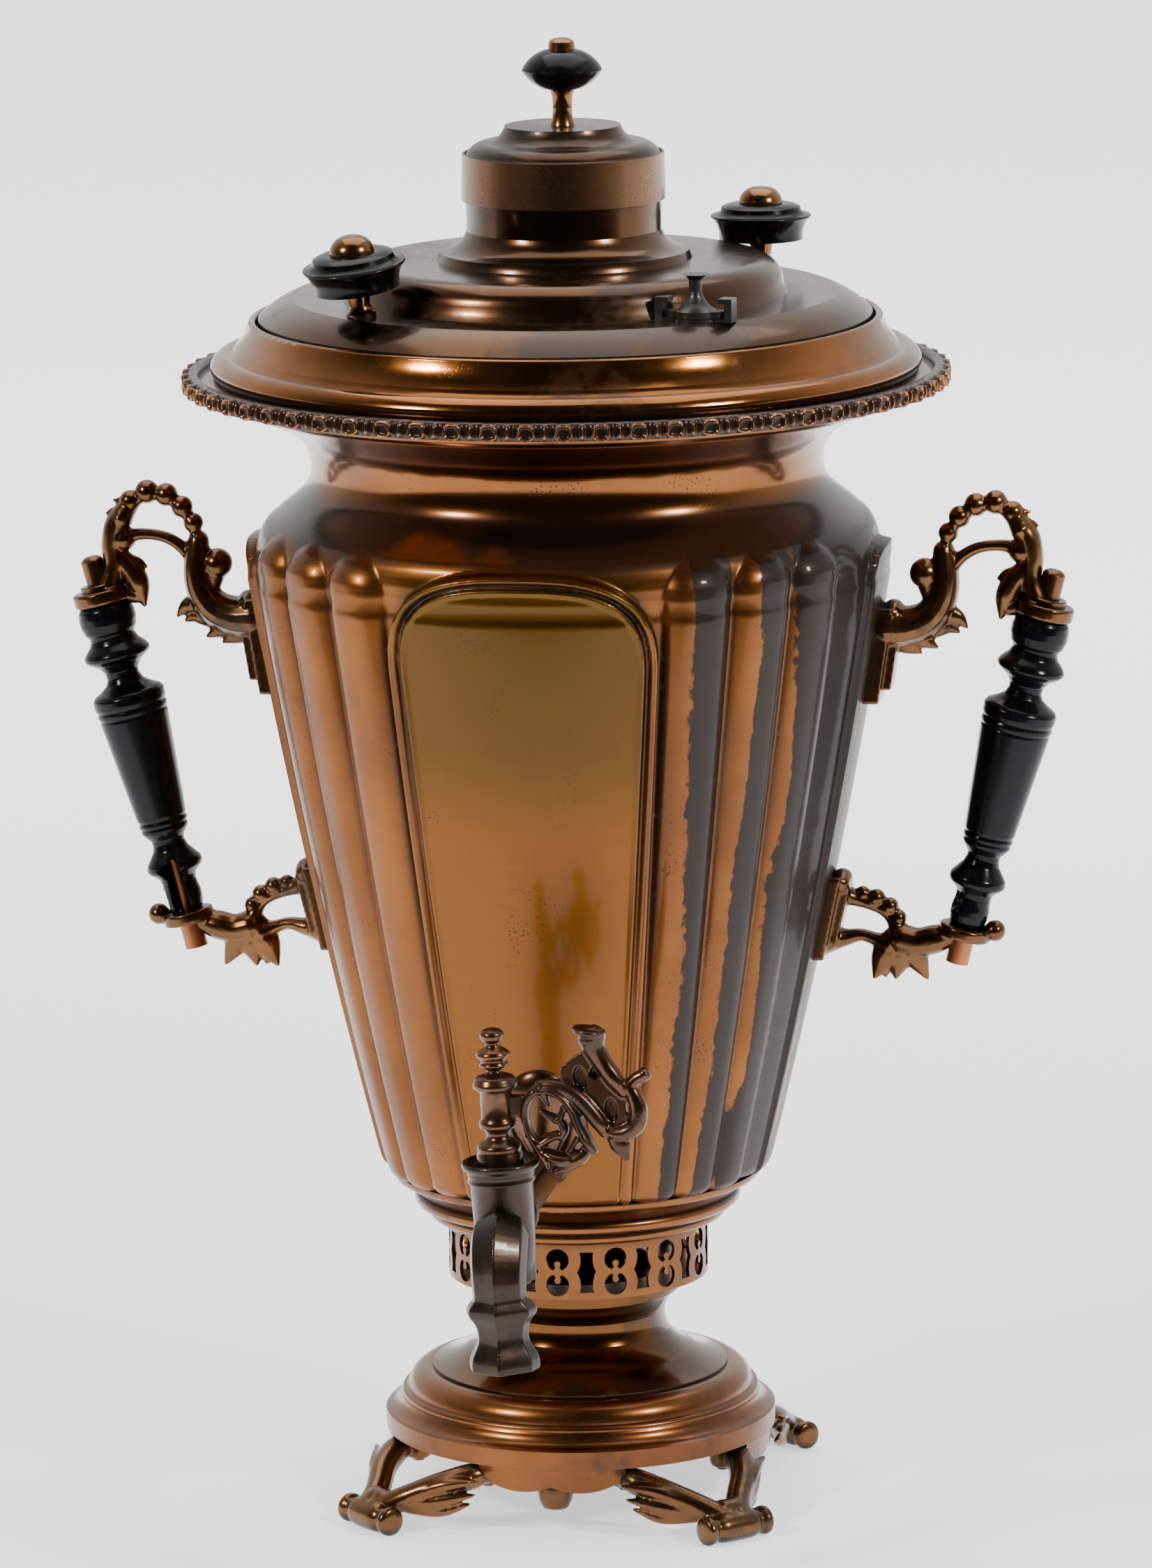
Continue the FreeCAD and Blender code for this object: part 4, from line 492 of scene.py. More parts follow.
def body_radius(angle, z):
    """Outer radius of the pressed shell at an angle from the tap's direction."""
    turn = (angle + 90) % 180 - 90
    off_panel = abs(turn)
    tip = crest(z)
    skin = soft_least(tip, between(shoulder, z), 1.6)
    mm_per_degree = math.radians(tip)
    depth = 2.4 + 3.6 * ease(z, 110, 330)
    valley = skin - depth * (1 - ease(z, 328, head_top))
    if off_panel <= panel_edge:
        off_middle = off_panel * mm_per_degree
        inside = arch_distance(off_middle, z, panel_half * mm_per_degree, panel_spring, panel_rise)
        rise = between(frame_profile, max(inside, 0.0))
    elif off_panel <= side_edge:
        half = rib_pitch / 2 * mm_per_degree
        across = (off_panel - panel_edge) / rib_pitch % 1 * 2 - 1
        past = max(z - (head_top - half), 0.0) / half
        rise = max(1 - math.hypot(across, past) ** 3, 0.0)
    else:
        share = (off_panel - side_edge) / (strip_edge - side_edge)
        flank = 0.5 * ease(share, 0.0, 1.0) * (1 - ease(z, 330, 344))
        off_middle = (90 - off_panel) * mm_per_degree
        inside = arch_distance(off_middle, z, side_half * mm_per_degree, side_spring, side_rise)
        rise = flank + (1 - flank) * ease(inside, -0.4, 0.8)
    return valley + depth * rise * (1 - 0.3 * ease(z, 325, head_top))


def body_heights():
    """Levels of the shell's corners, closest where the flutes' heads and the arches are."""
    heights = [body_foot + k for k in (0, 0.8, 1.8, 3, 4.5, 6.5, 9)]
    runs = [(128, 6.5, 27), (300, 1.6, 14), (322, 0.7, 40), (350, 1.6, 7), (361, 1.9, 17)]
    for start, step, count in runs:
        heights += [start + k * step for k in range(count)]
    return heights + [392.9, 393.6, 394.5, 395.4]


# The unseen inside of the shell, from the mouth down: (height, radius)
body_inside = [
    (395.4, 123.6), (386, 104), (379, 91.5), (372, 87), (360, 86), (350, 94), (338, 100), (230.8, 84),
    (150, 66.5), (116.8, 62),
]


def body_shell():
    columns = 900
    angles = [360 * k / columns - 180 for k in range(columns)]
    rows = [(z, [body_radius(angle, z) for angle in angles]) for z in body_heights()]
    rows += [(z, [radius] * columns) for z, radius in body_inside]
    shape = bmesh.new()
    rings = []
    for z, radii in rows:
        rings.append([
            shape.verts.new((radius * MM * math.sin(a), -radius * MM * math.cos(a), z * MM))
            for radius, a in zip(radii, map(math.radians, angles))
        ])
    join_rings(shape, rings, closed=True)
    return as_mesh("fluted_body", shape)


def off_tap_angle(node, place):
    """The angle round the body from the tap's direction, in radians."""
    ahead = node("Math", [node("SeparateXYZ", [place], "Y"), -1.0], **times)
    return node("Math", [node("SeparateXYZ", [place], "X"), ahead], operation="ARCTAN2")


def lost_lacquer(node, place, mottle):
    """Where the body has gone dark: the shoulder, and ragged streaks down its right side."""
    x = node("SeparateXYZ", [place], "X")
    z = node("SeparateXYZ", [place], "Z")
    pitch = math.radians(rib_pitch)
    edge = math.radians(panel_edge)
    rib = node("Math", [off_tap_angle(node, place), 1 / pitch, -edge / pitch], **times_plus)
    on_rib = node("MapRange", [node("Math", [rib], operation="FRACT"), 0.10, 0.60], **soft)
    near_ribs = node("MapRange", [rib, -0.6, 0.3, 0.0, 0.42], **soft)
    far_ribs = node("MapRange", [rib, 0.3, 2.8, 0.0, 0.42], **soft)
    right = node("Math", [on_rib, near_ribs, far_ribs], **times_plus)
    streak = grain(node, place, 20, 6.0, (1, 1, 0.12))
    streak = node("Math", [mottle, 0.22, streak], **times_plus)
    streak = node("MapRange", [node("Math", [streak, right], operation="ADD"), 0.92, 0.97], **soft)
    streak = node("Math", [streak, node("MapRange", [rib, 0.0, 0.2], **soft)], **times)
    drift = node("Math", [x, 0.6, grain(node, place, 50)], **times_plus)
    drift = node("MapRange", [drift, 0.30, 0.48], **soft)
    band = node("Math", [node("MapRange", [z, 0.338, 0.350], **soft), drift], **times)
    either = node("Math", [band, streak], operation="MAXIMUM")
    below_neck = node("MapRange", [z, 0.356, 0.366, 0.94, 0.0], **soft)
    return node("Math", [either, below_neck], **times)


def golden_panel(node, place, colour):
    """The framed panel was polished harder, and its colour turns darker and more olive towards the top."""
    z = node("SeparateXYZ", [place], "Z")
    angle = node("Math", [off_tap_angle(node, place)], operation="ABSOLUTE")
    sides = node("MapRange", [angle, math.radians(21), math.radians(25), 1.0, 0.0], **soft)
    top = node("MapRange", [z, 0.335, 0.348, 1.0, 0.0], **soft)
    upper = node("MapRange", [z, 0.245, 0.285], **soft)
    panel_tone_by_height = node("Mix", {0: upper, 6: linear("#7A4A1C"), 7: linear("#5F4112")}, **colours)
    on_panel = node("Math", [sides, top], **times)
    return node("Mix", {0: on_panel, 6: colour, 7: panel_tone_by_height}, **colours)


def glossy_neck(node, place):
    """Above the flutes the lacquer is whole and glossy; below them it is satin."""
    return node("MapRange", [node("SeparateXYZ", [place], "Z"), 0.340, 0.352, 1.0, 0.5], **soft)


body_copper = antiqued_metal(
    "antiqued_pressed_copper", ("#8A5528", "#724521"), "#191514", coverage=0.1, pits=0.5, shine=0.24,
    brushed=0.9, dark=lost_lacquer, gold=golden_panel, polish=glossy_neck)
body = new_piece("fluted_body", body_shell(), "base", body_copper)
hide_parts("body_shell")


# Fire tube and grate
# The tube is a plain brass pipe, sooted inside, and the grate is a slotted iron casting.
# Both are seen only with the lid off.
sooted_brass = antiqued_metal(
    "sooted_brass_sheet", ("#6E5230", "#5A4428"), "#1E1814", "#3A3A30", coverage=0.9, pits=0.6, shine=0.4)
paint(sooted_brass, "fire_tube")
burnt_iron = antiqued_metal(
    "burnt_grate_iron", ("#4A4542", "#3A3533"), "#241C18", "#5A3A26", coverage=0.9, pits=0.6, shine=0.5)
paint(burnt_iron, "fire_grate")


# Rim
# A spun top ring of rolls and a raised lip, with a pressed bead-and-reel strip soldered on.
# The rolls are rubbed bright, and so are the beads' thin raised edges, which also carry a painted
# highlight; the dishes and reels below them carry painted shade as well as oxide.
roll_copper = antiqued_metal(
    "antiqued_roll_copper", ("#9A5E2C", "#7C4E22"), "#2E221C", coverage=0.3, pits=0.55, shine=0.09,
    brushed=0.15)
paint(roll_copper, "top_plate")
strip_face = 129.7
strip_back = 127.0
strip_middle = 395.8
strip_half = 3.0
bead_count = 66
bead_half = 3.1
bead_turn = 0.7
dish = [(0, 1.3), (0.50, 1.4), (0.70, 1.9), (0.80, 2.8), (0.88, 2.8), (1.0, 0.4)]
reel = [(0, 2.5), (0.25, 2.4), (0.6, 1.2), (1.6, 0.7), (2.6, 1.1), (3.2, 0.4)]


def bead_strip():
    """The strip, sixty-six dished beads with a small reel between each two."""
    shape = bmesh.new()
    per_bead = 36
    rows = 16
    pitch = 2 * math.pi * strip_face / bead_count
    rings = []
    for k in range(bead_count * per_bead):
        along = abs((k % per_bead) / per_bead - 0.5) * pitch
        turn = 2 * math.pi * (k / per_bead) / bead_count + math.radians(bead_turn)
        x, y = math.sin(turn), -math.cos(turn)
        ring = [(strip_back, -1), (strip_face, -1)]
        for j in range(1, rows):
            up = 2 * j / rows - 1
            spread = ((along / bead_half) ** 3 + abs(up) ** 3) ** (1 / 3)
            out = between(dish, spread) if spread < 1 else between(reel, pitch / 2 - along) * (1 - up ** 4)
            ring.append((strip_face + out, up))
        ring += [(strip_face, 1), (strip_back, 1)]
        rings.append([
            shape.verts.new((r * MM * x, r * MM * y, (strip_middle + strip_half * up) * MM))
            for r, up in ring
        ])
    join_rings(shape, rings, closed=True)
    return as_mesh("bead_and_reel_strip", shape)


def shade_and_oxide_between_beads(node, place, mottle):
    """Everything below the strip's raised edges goes dark, partly oxide and partly painted shade in the
    dishes and reels; the raised edges stay bright, rubbed by hands and cloths and painted as a highlight
    too.
    """
    level = node("VectorMath", [place, (1, 1, 0)], **times)
    reach = node("VectorMath", [level], "Value", operation="LENGTH")
    return node("MapRange", [reach, (strip_face + 1.7) * MM, (strip_face + 2.3) * MM, 0.95, 0.0], **soft)


# The bright rubbed colour on the raised edges is partly a painted highlight.
strip_copper = antiqued_metal(
    "antiqued_bead_strip", ("#B87C50", "#A06A42"), "#2A1F1A", coverage=0.1, pits=0.1, shine=0.18,
    dark=shade_and_oxide_between_beads)
strip = new_piece("bead_and_reel_strip", bead_strip(), "base", strip_copper)
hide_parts("beaded_rim")


# Lid and steam vent
# A stepped copper lid, spun in one, with its chimney collar soldered on and a small brass vent.
# The flat steps are matt grey-brown, with greenish tarnish along their feet.
lid_copper = antiqued_metal(
    "antiqued_lid_copper", ("#5E4029", "#4E3420"), "#2C2420", "#66705F", coverage=0.62, pits=0.4,
    shine=0.16, brushed=0.2)
paint(lid_copper, "lid_shell", "lid_collar", "lid_skirt")
vent_brass = antiqued_metal(
    "tarnished_vent_brass", ("#5E564A", "#4E463C"), "#2E2E2B", "#5F6C66", coverage=0.8, pits=0.3, shine=0.3)
paint(vent_brass, "vent_base", "vent_cover")


# Lid knobs
# Turned beech, stained black and polished, on brass stems with domed nuts.
# The stain hides the grain, and the polish gives soft grey highlights with fine scratches.


def ebonised(name):
    material, node = new_finish(name)
    place = node("TexCoord", out="Object")
    fibre = grain(node, place, 2.2, 4.0, (1, 1, 0.12))
    grey = node("MapRange", [fibre, 0.4, 0.7], **soft)
    rub = node("MapRange", [grain(node, place, 14), 0.55, 0.75], **soft)
    rough = node("MapRange", [rub, 0, 1, 0.16, 0.28], **soft)
    surface = node("BsdfPrincipled", {
        "Base Color": node("Mix", {0: grey, 6: linear("#08090A"), 7: linear("#111214")}, **colours),
        "Roughness": node("Math", [fibre, 0.06, rough], **times_plus),
        "IOR": 1.48,
        "Normal": node("Bump", {"Strength": 0.1, "Distance": 0.15 * MM, "Height": fibre}),
        "Specular IOR Level": 0.22,
    })
    node("OutputMaterial", {"Surface": surface})
    return material


black_wood = ebonised("ebonised_beech")
paint(black_wood, "lid_knob_left", "lid_knob_right")
rubbed_brass = antiqued_metal(
    "rubbed_brass_fittings", ("#8E663C", "#765030"), "#33251B", coverage=0.3, pits=0.2, shine=0.18)
paint(rubbed_brass, "lid_stem_left", "lid_stem_right", "lid_nut_left", "lid_nut_right")


# Chimney cap
# A spun dome with a plain band that slips over the collar, a turned stem and an ebonised knob.
# The band is rubbed bright and speckled, the dome is dark.
cap_copper = antiqued_metal(
    "antiqued_cap_copper", ("#4E3A2A", "#443022"), "#2A221D", coverage=0.75, pits=0.3, shine=0.24)
band_copper = antiqued_metal(
    "speckled_band_copper", ("#846044", "#73513A"), "#33271F", coverage=0.2, pits=0.9, shine=0.26,
    brushed=0.4)
paint(cap_copper, "cap_dome")
paint(band_copper, "cap_band")
paint(rubbed_brass, "cap_stem", "cap_button")
paint(black_wood, "cap_knob")


# Handles
# Cast scroll brackets soldered to the side strips, and turned grips of ebonised beech on copper rods.
# Each bracket has a beaded arch and curled leaves; the left grip has lost wood over its lower end.
grip_head = Vector((165.5, 0, 316))
grip_foot = Vector((137, 0, 202.5))
grip_way = (grip_head - grip_foot).normalized()
upper_eye_radius, upper_eye_half = 10.0, 2.5
lower_eye_radius, lower_eye_half = 9.0, 2.2
end_gap = 0.2
# Where wood is gone from the left grip: (height above its foot, distance outwards from the rod) points
split = [
    (-1, -2.9), (4, -3.2), (9, -2.8), (14, -3.2), (17.2, -4), (19.6, -1.6), (18.4, 1.8), (16.6, 5),
    (13, 3), (8, 2.8), (4, 3.1), (-1, 2.9),
]
chipped = [(-1, 5.0), (5, 4.6), (8.6, 5.2), (9.4, 7.0), (11.5, 8.6), (13.6, 7.8), (15.0, 13), (-1, 13)]


def oval(x, z, half_wide, half_high, lean=0.0):
    """The outline of an oval hole that leans by some degrees."""
    c, s = math.cos(math.radians(lean)), math.sin(math.radians(lean))
    return [
        (x + half_wide * a * c - half_high * b * s, z + half_wide * a * s + half_high * b * c)
        for a, b in circle(20)
    ]


def add_scrolls(shape, rows, fullness):
    """Adds smooth bars in the XZ plane: (depth over height of the section, (x, z, radius) points)."""
    for depth, points in rows:
        add_bar(shape, [(x, 0, z, radius * fullness) for x, z, radius in points], depth)


# A bracket for the right side: bars (depth over height, (x, z, radius) points), balls (x, z, radius),
# and pads (half width, outline)
upper_scrolls = [
    (1.25, [(111, 310, 6.6), (118, 310, 5.6), (125, 312.8, 5), (129.6, 319, 4.5), (131, 327, 4.1),
            (130.6, 336, 3.2)]),
    (1.1, [(130, 315, 3.2), (126.6, 321, 3.2), (125.2, 326, 3.6)]),
    (1.5, [(131, 338, 1.7), (133.4, 343.5, 1.6), (137.4, 348.6, 1.6), (142.2, 351.6, 1.6),
           (148, 352.2, 1.6), (153.6, 349, 2), (157.4, 344, 3.4)]),
    (1.2, [(130.5, 325, 3), (134.8, 332.2, 2), (141.5, 336.9, 1.7), (149.7, 338.2, 1.7),
           (157.5, 337, 2.2)]),
    (1.3, [(156.6, 346, 3.2), (159.8, 341, 3.4), (161.2, 334, 3.2), (160.8, 327, 3), (162.6, 320, 3.6)]),
    (0.7, [(155, 347, 2.6), (158, 349.4, 1.6), (160.4, 350.2, 0.4)]),
    (0.7, [(157, 345.5, 2.6), (160.6, 345.8, 1.5), (163.2, 345.4, 0.4)]),
    (0.7, [(158, 342, 2.6), (161.9, 341.4, 1.5), (164, 339.6, 0.4)]),
    (0.8, [(125, 311, 4.2), (130.5, 313.6, 3.4), (135, 312.9, 2.4), (138.6, 309.3, 0.5)]),
    (0.8, [(127, 309, 3), (132, 309.6, 2.2), (135.6, 307.8, 0.6)]),
    (0.8, [(116, 308, 4.4), (121.6, 305.8, 3.4), (128, 302.4, 0.6)]),
    (0.8, [(114, 306, 4.2), (118.4, 303, 3), (122.4, 300.4, 0.6)]),
    (1, [(159.8, 331, 3), (155, 326, 3.4), (152, 320, 3.2), (150.2, 313.2, 0.8)]),
    (0.7, [(155, 328.6, 2.2), (151.6, 328, 1.4), (149, 326.6, 0.4)]),
    (1, [(153, 316.5, 2.4), (158, 317.2, 2.6), (163, 317.6, 2.6)]),
]
upper_balls = [
    (132.2, 342.4, 3.1), (136.1, 348, 3.4), (141.7, 352.2, 3.6), (148.5, 353.2, 3.7),
    (154.5, 349.8, 3.4), (157.3, 336.6, 4), (124, 328.2, 4.7),
]
lower_scrolls = [
    (1.3, [(91, 216, 4.6), (97, 214.2, 2.8), (103, 212, 1.8), (108.6, 209.6, 1.7), (112.2, 206, 2),
           (114.6, 200.5, 3.4)]),
    (1.3, [(89, 199, 4.4), (95.4, 199.6, 2.6), (101, 200.6, 1.8), (106, 199.2, 2), (111, 197.4, 3.2)]),
    (1.2, [(114.6, 199.6, 4.4), (120.6, 198.4, 4.2), (126.6, 199.6, 4.2), (131, 200.8, 3.4)]),
    (0.8, [(113.6, 199, 4.6), (109.4, 193, 4.4), (105.4, 185.6, 0.7)]),
    (0.8, [(114.6, 197, 4.4), (113.6, 191.4, 4), (113, 185.6, 0.7)]),
    (0.7, [(112, 197, 4), (108.6, 190.6, 3), (109.4, 186.4, 0.7)]),
    (0.8, [(117.5, 197.6, 4.6), (120.6, 192, 3.4), (124, 185.8, 0.7)]),
    (0.9, [(143, 201.6, 2.2), (147, 202.8, 2.2)]),
]
lower_balls = [
    (101.6, 215.2, 2.4), (106.4, 213.8, 2.8), (111, 210.9, 2.8), (114, 206.9, 2.6),
    (115.6, 202.6, 2.2), (147.6, 203, 3.3),
]
upper_pad = [
    (8.5, [(106, 316.6), (113.4, 316.6), (108.4, 283.4), (102, 283.4)]),
    (5.6, [(108, 314.4), (116.4, 313.6), (112.4, 288), (104, 288)]),
]
lower_pad = [
    (8.5, [(87, 221.8), (94.8, 221.8), (88.6, 192.8), (82, 192.8)]),
    (5.6, [(89, 219.6), (97.8, 218.6), (92.6, 197), (84, 197)]),
]
bracket_forms = {
    "upper": (
        upper_scrolls, upper_balls, upper_pad, (113.2, 314.6), grip_head, upper_eye_radius, upper_eye_half),
    "lower": (
        lower_scrolls, lower_balls, lower_pad, (94.6, 219.6), grip_foot, lower_eye_radius, lower_eye_half),
}
# How much fuller the cast bars and balls are than the drawn ones
scroll_fullness = 1.22
ball_fullness = 1.14


def mirrored(mesh, mirror):
    """The mesh as it is made for the right side, or its mirror image where mirror is -1."""
    mesh.transform(Matrix.Scale(mirror, 4, (1, 0, 0)))
    if mirror < 0:
        mesh.flip_normals()
    return mesh


def bracket(name, mirror, scrolls, balls, pads, roll, eye, radius, half):
    """One cast bracket: its scrolls, the pad on the body, a small roll over it and the grip's eye."""
    shape = bmesh.new()
    add_scrolls(shape, scrolls, scroll_fullness)
    for x, z, size in balls:
        add_ball(shape, (x, 0, z), size * ball_fullness, (1, 1.12, 1))
    for wide, outline in pads:
        add_plate(shape, [outline], -wide, 2 * wide)
    x, z = roll
    add_bar(shape, [(x, -4.6, z, 3.2), (x, 0, z + 0.9, 3.6), (x, 4.6, z, 3.2)], 1.0, (0, 0, 1))
    low, high = eye - grip_way * half, eye + grip_way * half
    add_drum(shape, low, high, [(0, radius - 0.7), (0.12, radius), (0.88, radius), (1, radius - 0.7)])
    return mirrored(cast(name, shape, 0.55, 2), mirror)


# The grip's turned outline: share of the way down, radius in millimetres
grip_rows = [
    (0, 8.4), (0.014, 9.5), (0.035, 10), (0.06, 10), (0.085, 9.2), (0.098, 8.1), (0.108, 8),
    (0.125, 8.8), (0.145, 10.9), (0.158, 11.8), (0.168, 11.7), (0.18, 10.2), (0.195, 7.6), (0.215, 6),
    (0.235, 5.8), (0.255, 6.8), (0.272, 9.4), (0.283, 11.8), (0.295, 12.8), (0.315, 12.8), (0.326, 12.6),
    (0.330, 12.1), (0.335, 12.1), (0.339, 12.5), (0.352, 12.4), (0.356, 11.9), (0.360, 11.9),
    (0.364, 12.2), (0.50, 10.8), (0.695, 8.8), (0.699, 8.3), (0.704, 8.3), (0.708, 8.7), (0.716, 8.7),
    (0.720, 8.2), (0.725, 8.2), (0.729, 8.5), (0.738, 8.2), (0.750, 7.2), (0.765, 5.9), (0.780, 5.7),
    (0.80, 6.4), (0.82, 8), (0.84, 9.7), (0.853, 10), (0.864, 9.6), (0.876, 8), (0.89, 6.5),
    (0.905, 6.1), (0.925, 6.3), (0.945, 6.7), (0.965, 6.7), (0.985, 6.3), (1, 5.6),
]


def grip(name, mirror, broken):
    """One grip, turned down from its head; the broken one is then split and chipped at its foot."""
    shape = bmesh.new()
    start = grip_head - grip_way * (upper_eye_half + end_gap)
    end = grip_foot + grip_way * (lower_eye_half + end_gap)
    length = (end - start).length
    outward = Vector((grip_way.z, 0, -grip_way.x))
    front = Vector((0, -1, 0))
    sides = 96
    steps = 260
    rings = []
    for j in range(steps + 1):
        share = j / steps
        radius = between(grip_rows, share)
        left = (1 - share) * length
        ring = []
        for k in range(sides):
            angle = math.remainder(2 * math.pi * k / sides, 2 * math.pi)
            size = radius
            if not broken and 4 < left < 13 and -1.7 < angle < -0.5:
                bite = 0.7 + noise.noise(Vector((left * 0.35, k * 0.25, 3.0)))
                size = radius - 1.5 * ease(left, 4, 6) * (1 - ease(left, 11, 13)) * bite
            out = outward * math.sin(angle) + front * math.cos(angle)
            ring.append(shape.verts.new((start.lerp(end, share) + out * size) * MM))
        rings.append(ring)
    join_rings(shape, rings[::-1])
    mesh = as_mesh(name, shape)
    if broken:
        for outline, front_depth, back_depth in ((split, -16, 1.4), (chipped, -16, 16)):
            corners = [end + grip_way * t + outward * x for t, x in outline]
            mesh = cut_wood(mesh, corners, front_depth, back_depth)
    return mirrored(mesh, mirror)


def cut_wood(mesh, corners, front_depth, back_depth):
    """Takes a prism of wood, between two depths along Y, out of a grip."""
    cutter = bmesh.new()
    rings = [
        [cutter.verts.new(Vector((p.x, depth, p.z)) * MM) for p in corners]
        for depth in (front_depth, back_depth)
    ]
    join_rings(cutter, rings)
    tool = put_in_scene("wood_cutter", as_mesh("wood_cutter", cutter))
    raw = put_in_scene("wood_blank", mesh)
    cut = raw.modifiers.new("cut", "BOOLEAN")
    cut.operation = "DIFFERENCE"
    cut.solver = "EXACT"
    cut.object = tool
    done = worked(raw)
    bpy.data.objects.remove(tool)
    return done


# Bare copper where the wood is gone, painted brighter so that the rod looks lit where it shows in the
# shaded slot of the broken grip.
rod_copper = antiqued_metal(
    "bare_rod_copper_painted_bright", ("#B4704A", "#9A5C3A"), "#3A251B", coverage=0.1, pits=0.3, shine=0.36, hollows=0.1)
for side, mirror in (("left", -1), ("right", 1)):
    for level, form in bracket_forms.items():
        name = f"scroll_bracket_{level}_{side}"
        piece = new_piece(name, bracket(name, mirror, *form), "base", cast_copper)
        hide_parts(f"handle_{side}_{level}_bracket")
    name = "turned_grip_" + side
    wood = new_piece(name, grip(name, mirror, side == "left"), "base", black_wood)
    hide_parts(f"handle_{side}_grip")
    paint(rod_copper, f"handle_{side}_rod")
    paint(cast_copper, f"handle_{side}_washer", f"handle_{side}_acorn")


# Tap
# One casting makes shank, barrel and ribbed spout, and a ground plug with an openwork lever turns in it.
# It has lost most of its lacquer and is dark and dull, with bright edges on the lever.
tap_place = Matrix.Translation((0, -0.150, 0.132)) @ Matrix.Rotation(math.radians(-3), 4, "Y")
# The spout's sections: (y, height, half width, half depth, the fall of its path in degrees)
spout_rows = [
    (-5, 0.5, 7.6, 8, 8), (-9, -0.5, 9.4, 9, 28), (-13.5, -4, 9.8, 9.2, 52), (-17, -9.5, 9.6, 9, 72),
    (-18.5, -15.5, 9.3, 8.6, 86), (-18.2, -20.6, 9.2, 8.6, 90), (-17.6, -22.6, 10.6, 9.8, 90),
    (-17.2, -24.6, 12, 10.8, 90), (-17.2, -26.8, 11.8, 10.6, 90), (-17.4, -29.4, 9.8, 9.2, 90),
    (-17.5, -32.6, 8.8, 8.4, 90), (-17.5, -36.4, 9.2, 8.8, 90), (-17.5, -40.6, 11.4, 10.4, 90),
    (-17.5, -43.4, 12, 11, 90), (-17.5, -45.6, 11.8, 10.8, 90),
]
# One section of the spout, as shares of its half width and half depth; its rib is at the top
spout_section = [
    (0, 1), (0.40, 0.72), (0.84, 0.44), (1, -0.1), (0.6, -0.9), (-0.6, -0.9), (-1, -0.1),
    (-0.84, 0.44), (-0.40, 0.72),
]
barrel_outside = [
    (9.5, -19), (10, -6), (10.6, 14.2), (11.4, 14.9), (11.5, 15.5), (10.9, 16.3), (11.2, 17.1),
    (11.4, 17.8), (11.2, 18.4), (12.6, 19.4), (13.2, 20.6), (13, 21.6), (12.2, 22), (9.8, 19.2),
    (8.6, 18),
]
barrel_bore = [(7.2, 17.3), (6.2, -19)]


def add_ring(shape, rows):
    """Adds a form turned about Z; the rows of (radius, height) go once round its section."""
    rings = [
        [shape.verts.new((radius * MM * x, radius * MM * y, height * MM)) for x, y in circle(72)]
        for radius, height in rows
    ]
    join_rings(shape, rings, closed=True)


def tap_casting():
    """The ribbed spout and the shank, run into the turned and bored barrel."""
    shape = bmesh.new()
    rings = []
    for y, z, wide, deep, fall in smooth_line(spout_rows, 4):
        forward = Vector((0, -math.sin(math.radians(fall)), math.cos(math.radians(fall))))
        rings.append([
            shape.verts.new((Vector((x * wide, y, z)) + forward * (out * deep)) * MM)
            for x, out in spout_section
        ])
    join_rings(shape, rings)
    shank = [(0, 7), (0.04, 7), (0.05, 9.2), (0.10, 9.2), (0.12, 7), (1, 7)]
    add_drum(shape, (0, 8, 0), (0, 92, 0), shank)
    spout = cast("tap_spout", shape, 0.5, 1)
    shape = bmesh.new()
    shape.from_mesh(spout)
    add_ring(shape, barrel_outside + barrel_bore)
    mesh = as_mesh("tap_casting", shape)
    mesh.transform(tap_place)
    return mesh


def shell_escutcheon():
    """The ribbed shell round the shank, fanning up the panel."""
    middle, half_wide, half_high, depth = 146.7, 16.4, 22.4, 7.0
    shank_level = 132.0
    rows = 24
    sides = 180
    shape = bmesh.new()
    rings = []
    for j in range(1, rows + 1):
        share = j / rows
        ring = []
        for k in range(sides):
            angle = 2 * math.pi * k / sides
            x = half_wide * share * math.cos(angle)
            z = middle + half_high * share * math.sin(angle)
            fan = math.atan2(x, z - shank_level + 4)
            lobe = abs(math.cos(fan * 3.5))
            edge = 1 - 0.07 * (1 - lobe) * share
            out = depth * max(1 - share ** 3.2, 0) ** 0.6 * (0.62 + 0.38 * lobe ** 0.7)
            z = middle + (z - middle) * edge
            ring.append(shape.verts.new((x * edge * MM, -(crest(z) - 3.2 + out) * MM, z * MM)))
        rings.append(ring)
    rings.append([shape.verts.new(v.co + Vector((0, 3 * MM, 0))) for v in rings[-1]])
    join_rings(shape, rings)
    return as_mesh("shell_escutcheon", shape)


# The plug, its washer and its finial, from the foot up: (radius, height)
plug_rows = [
    (5.4, -19.2), (6.5, 17.2), (7.5, 17.8), (7.7, 18.6), (7.7, 24.4), (7.2, 25.1), (7.4, 25.8),
    (7.5, 26.9), (6.6, 27.8), (5, 28.8), (4.1, 30), (4, 31), (4.8, 32.4), (6, 33.2), (6.2, 33.8),
    (6.2, 35.3), (5.7, 35.9), (5.35, 36.6), (5.35, 45.2), (6.4, 46.2), (7.4, 46.8), (7.5, 47.7),
    (7.4, 48.6), (7, 48.9), (6.9, 49.6), (6, 50.6), (4, 51.2), (2.8, 51.8), (2.4, 52.6), (3.4, 53.4),
    (4.8, 54.2), (4.9, 54.9), (3.9, 55.5), (4.6, 56.4), (5.7, 57.6), (5.9, 58.2), (4.6, 59.4), (2.9, 60.4),
    (2.3, 61.4), (2.6, 62.2), (3.6, 62.9), (4.1, 64.2), (4, 65.2), (3, 66.3), (1.4, 66.9),
]
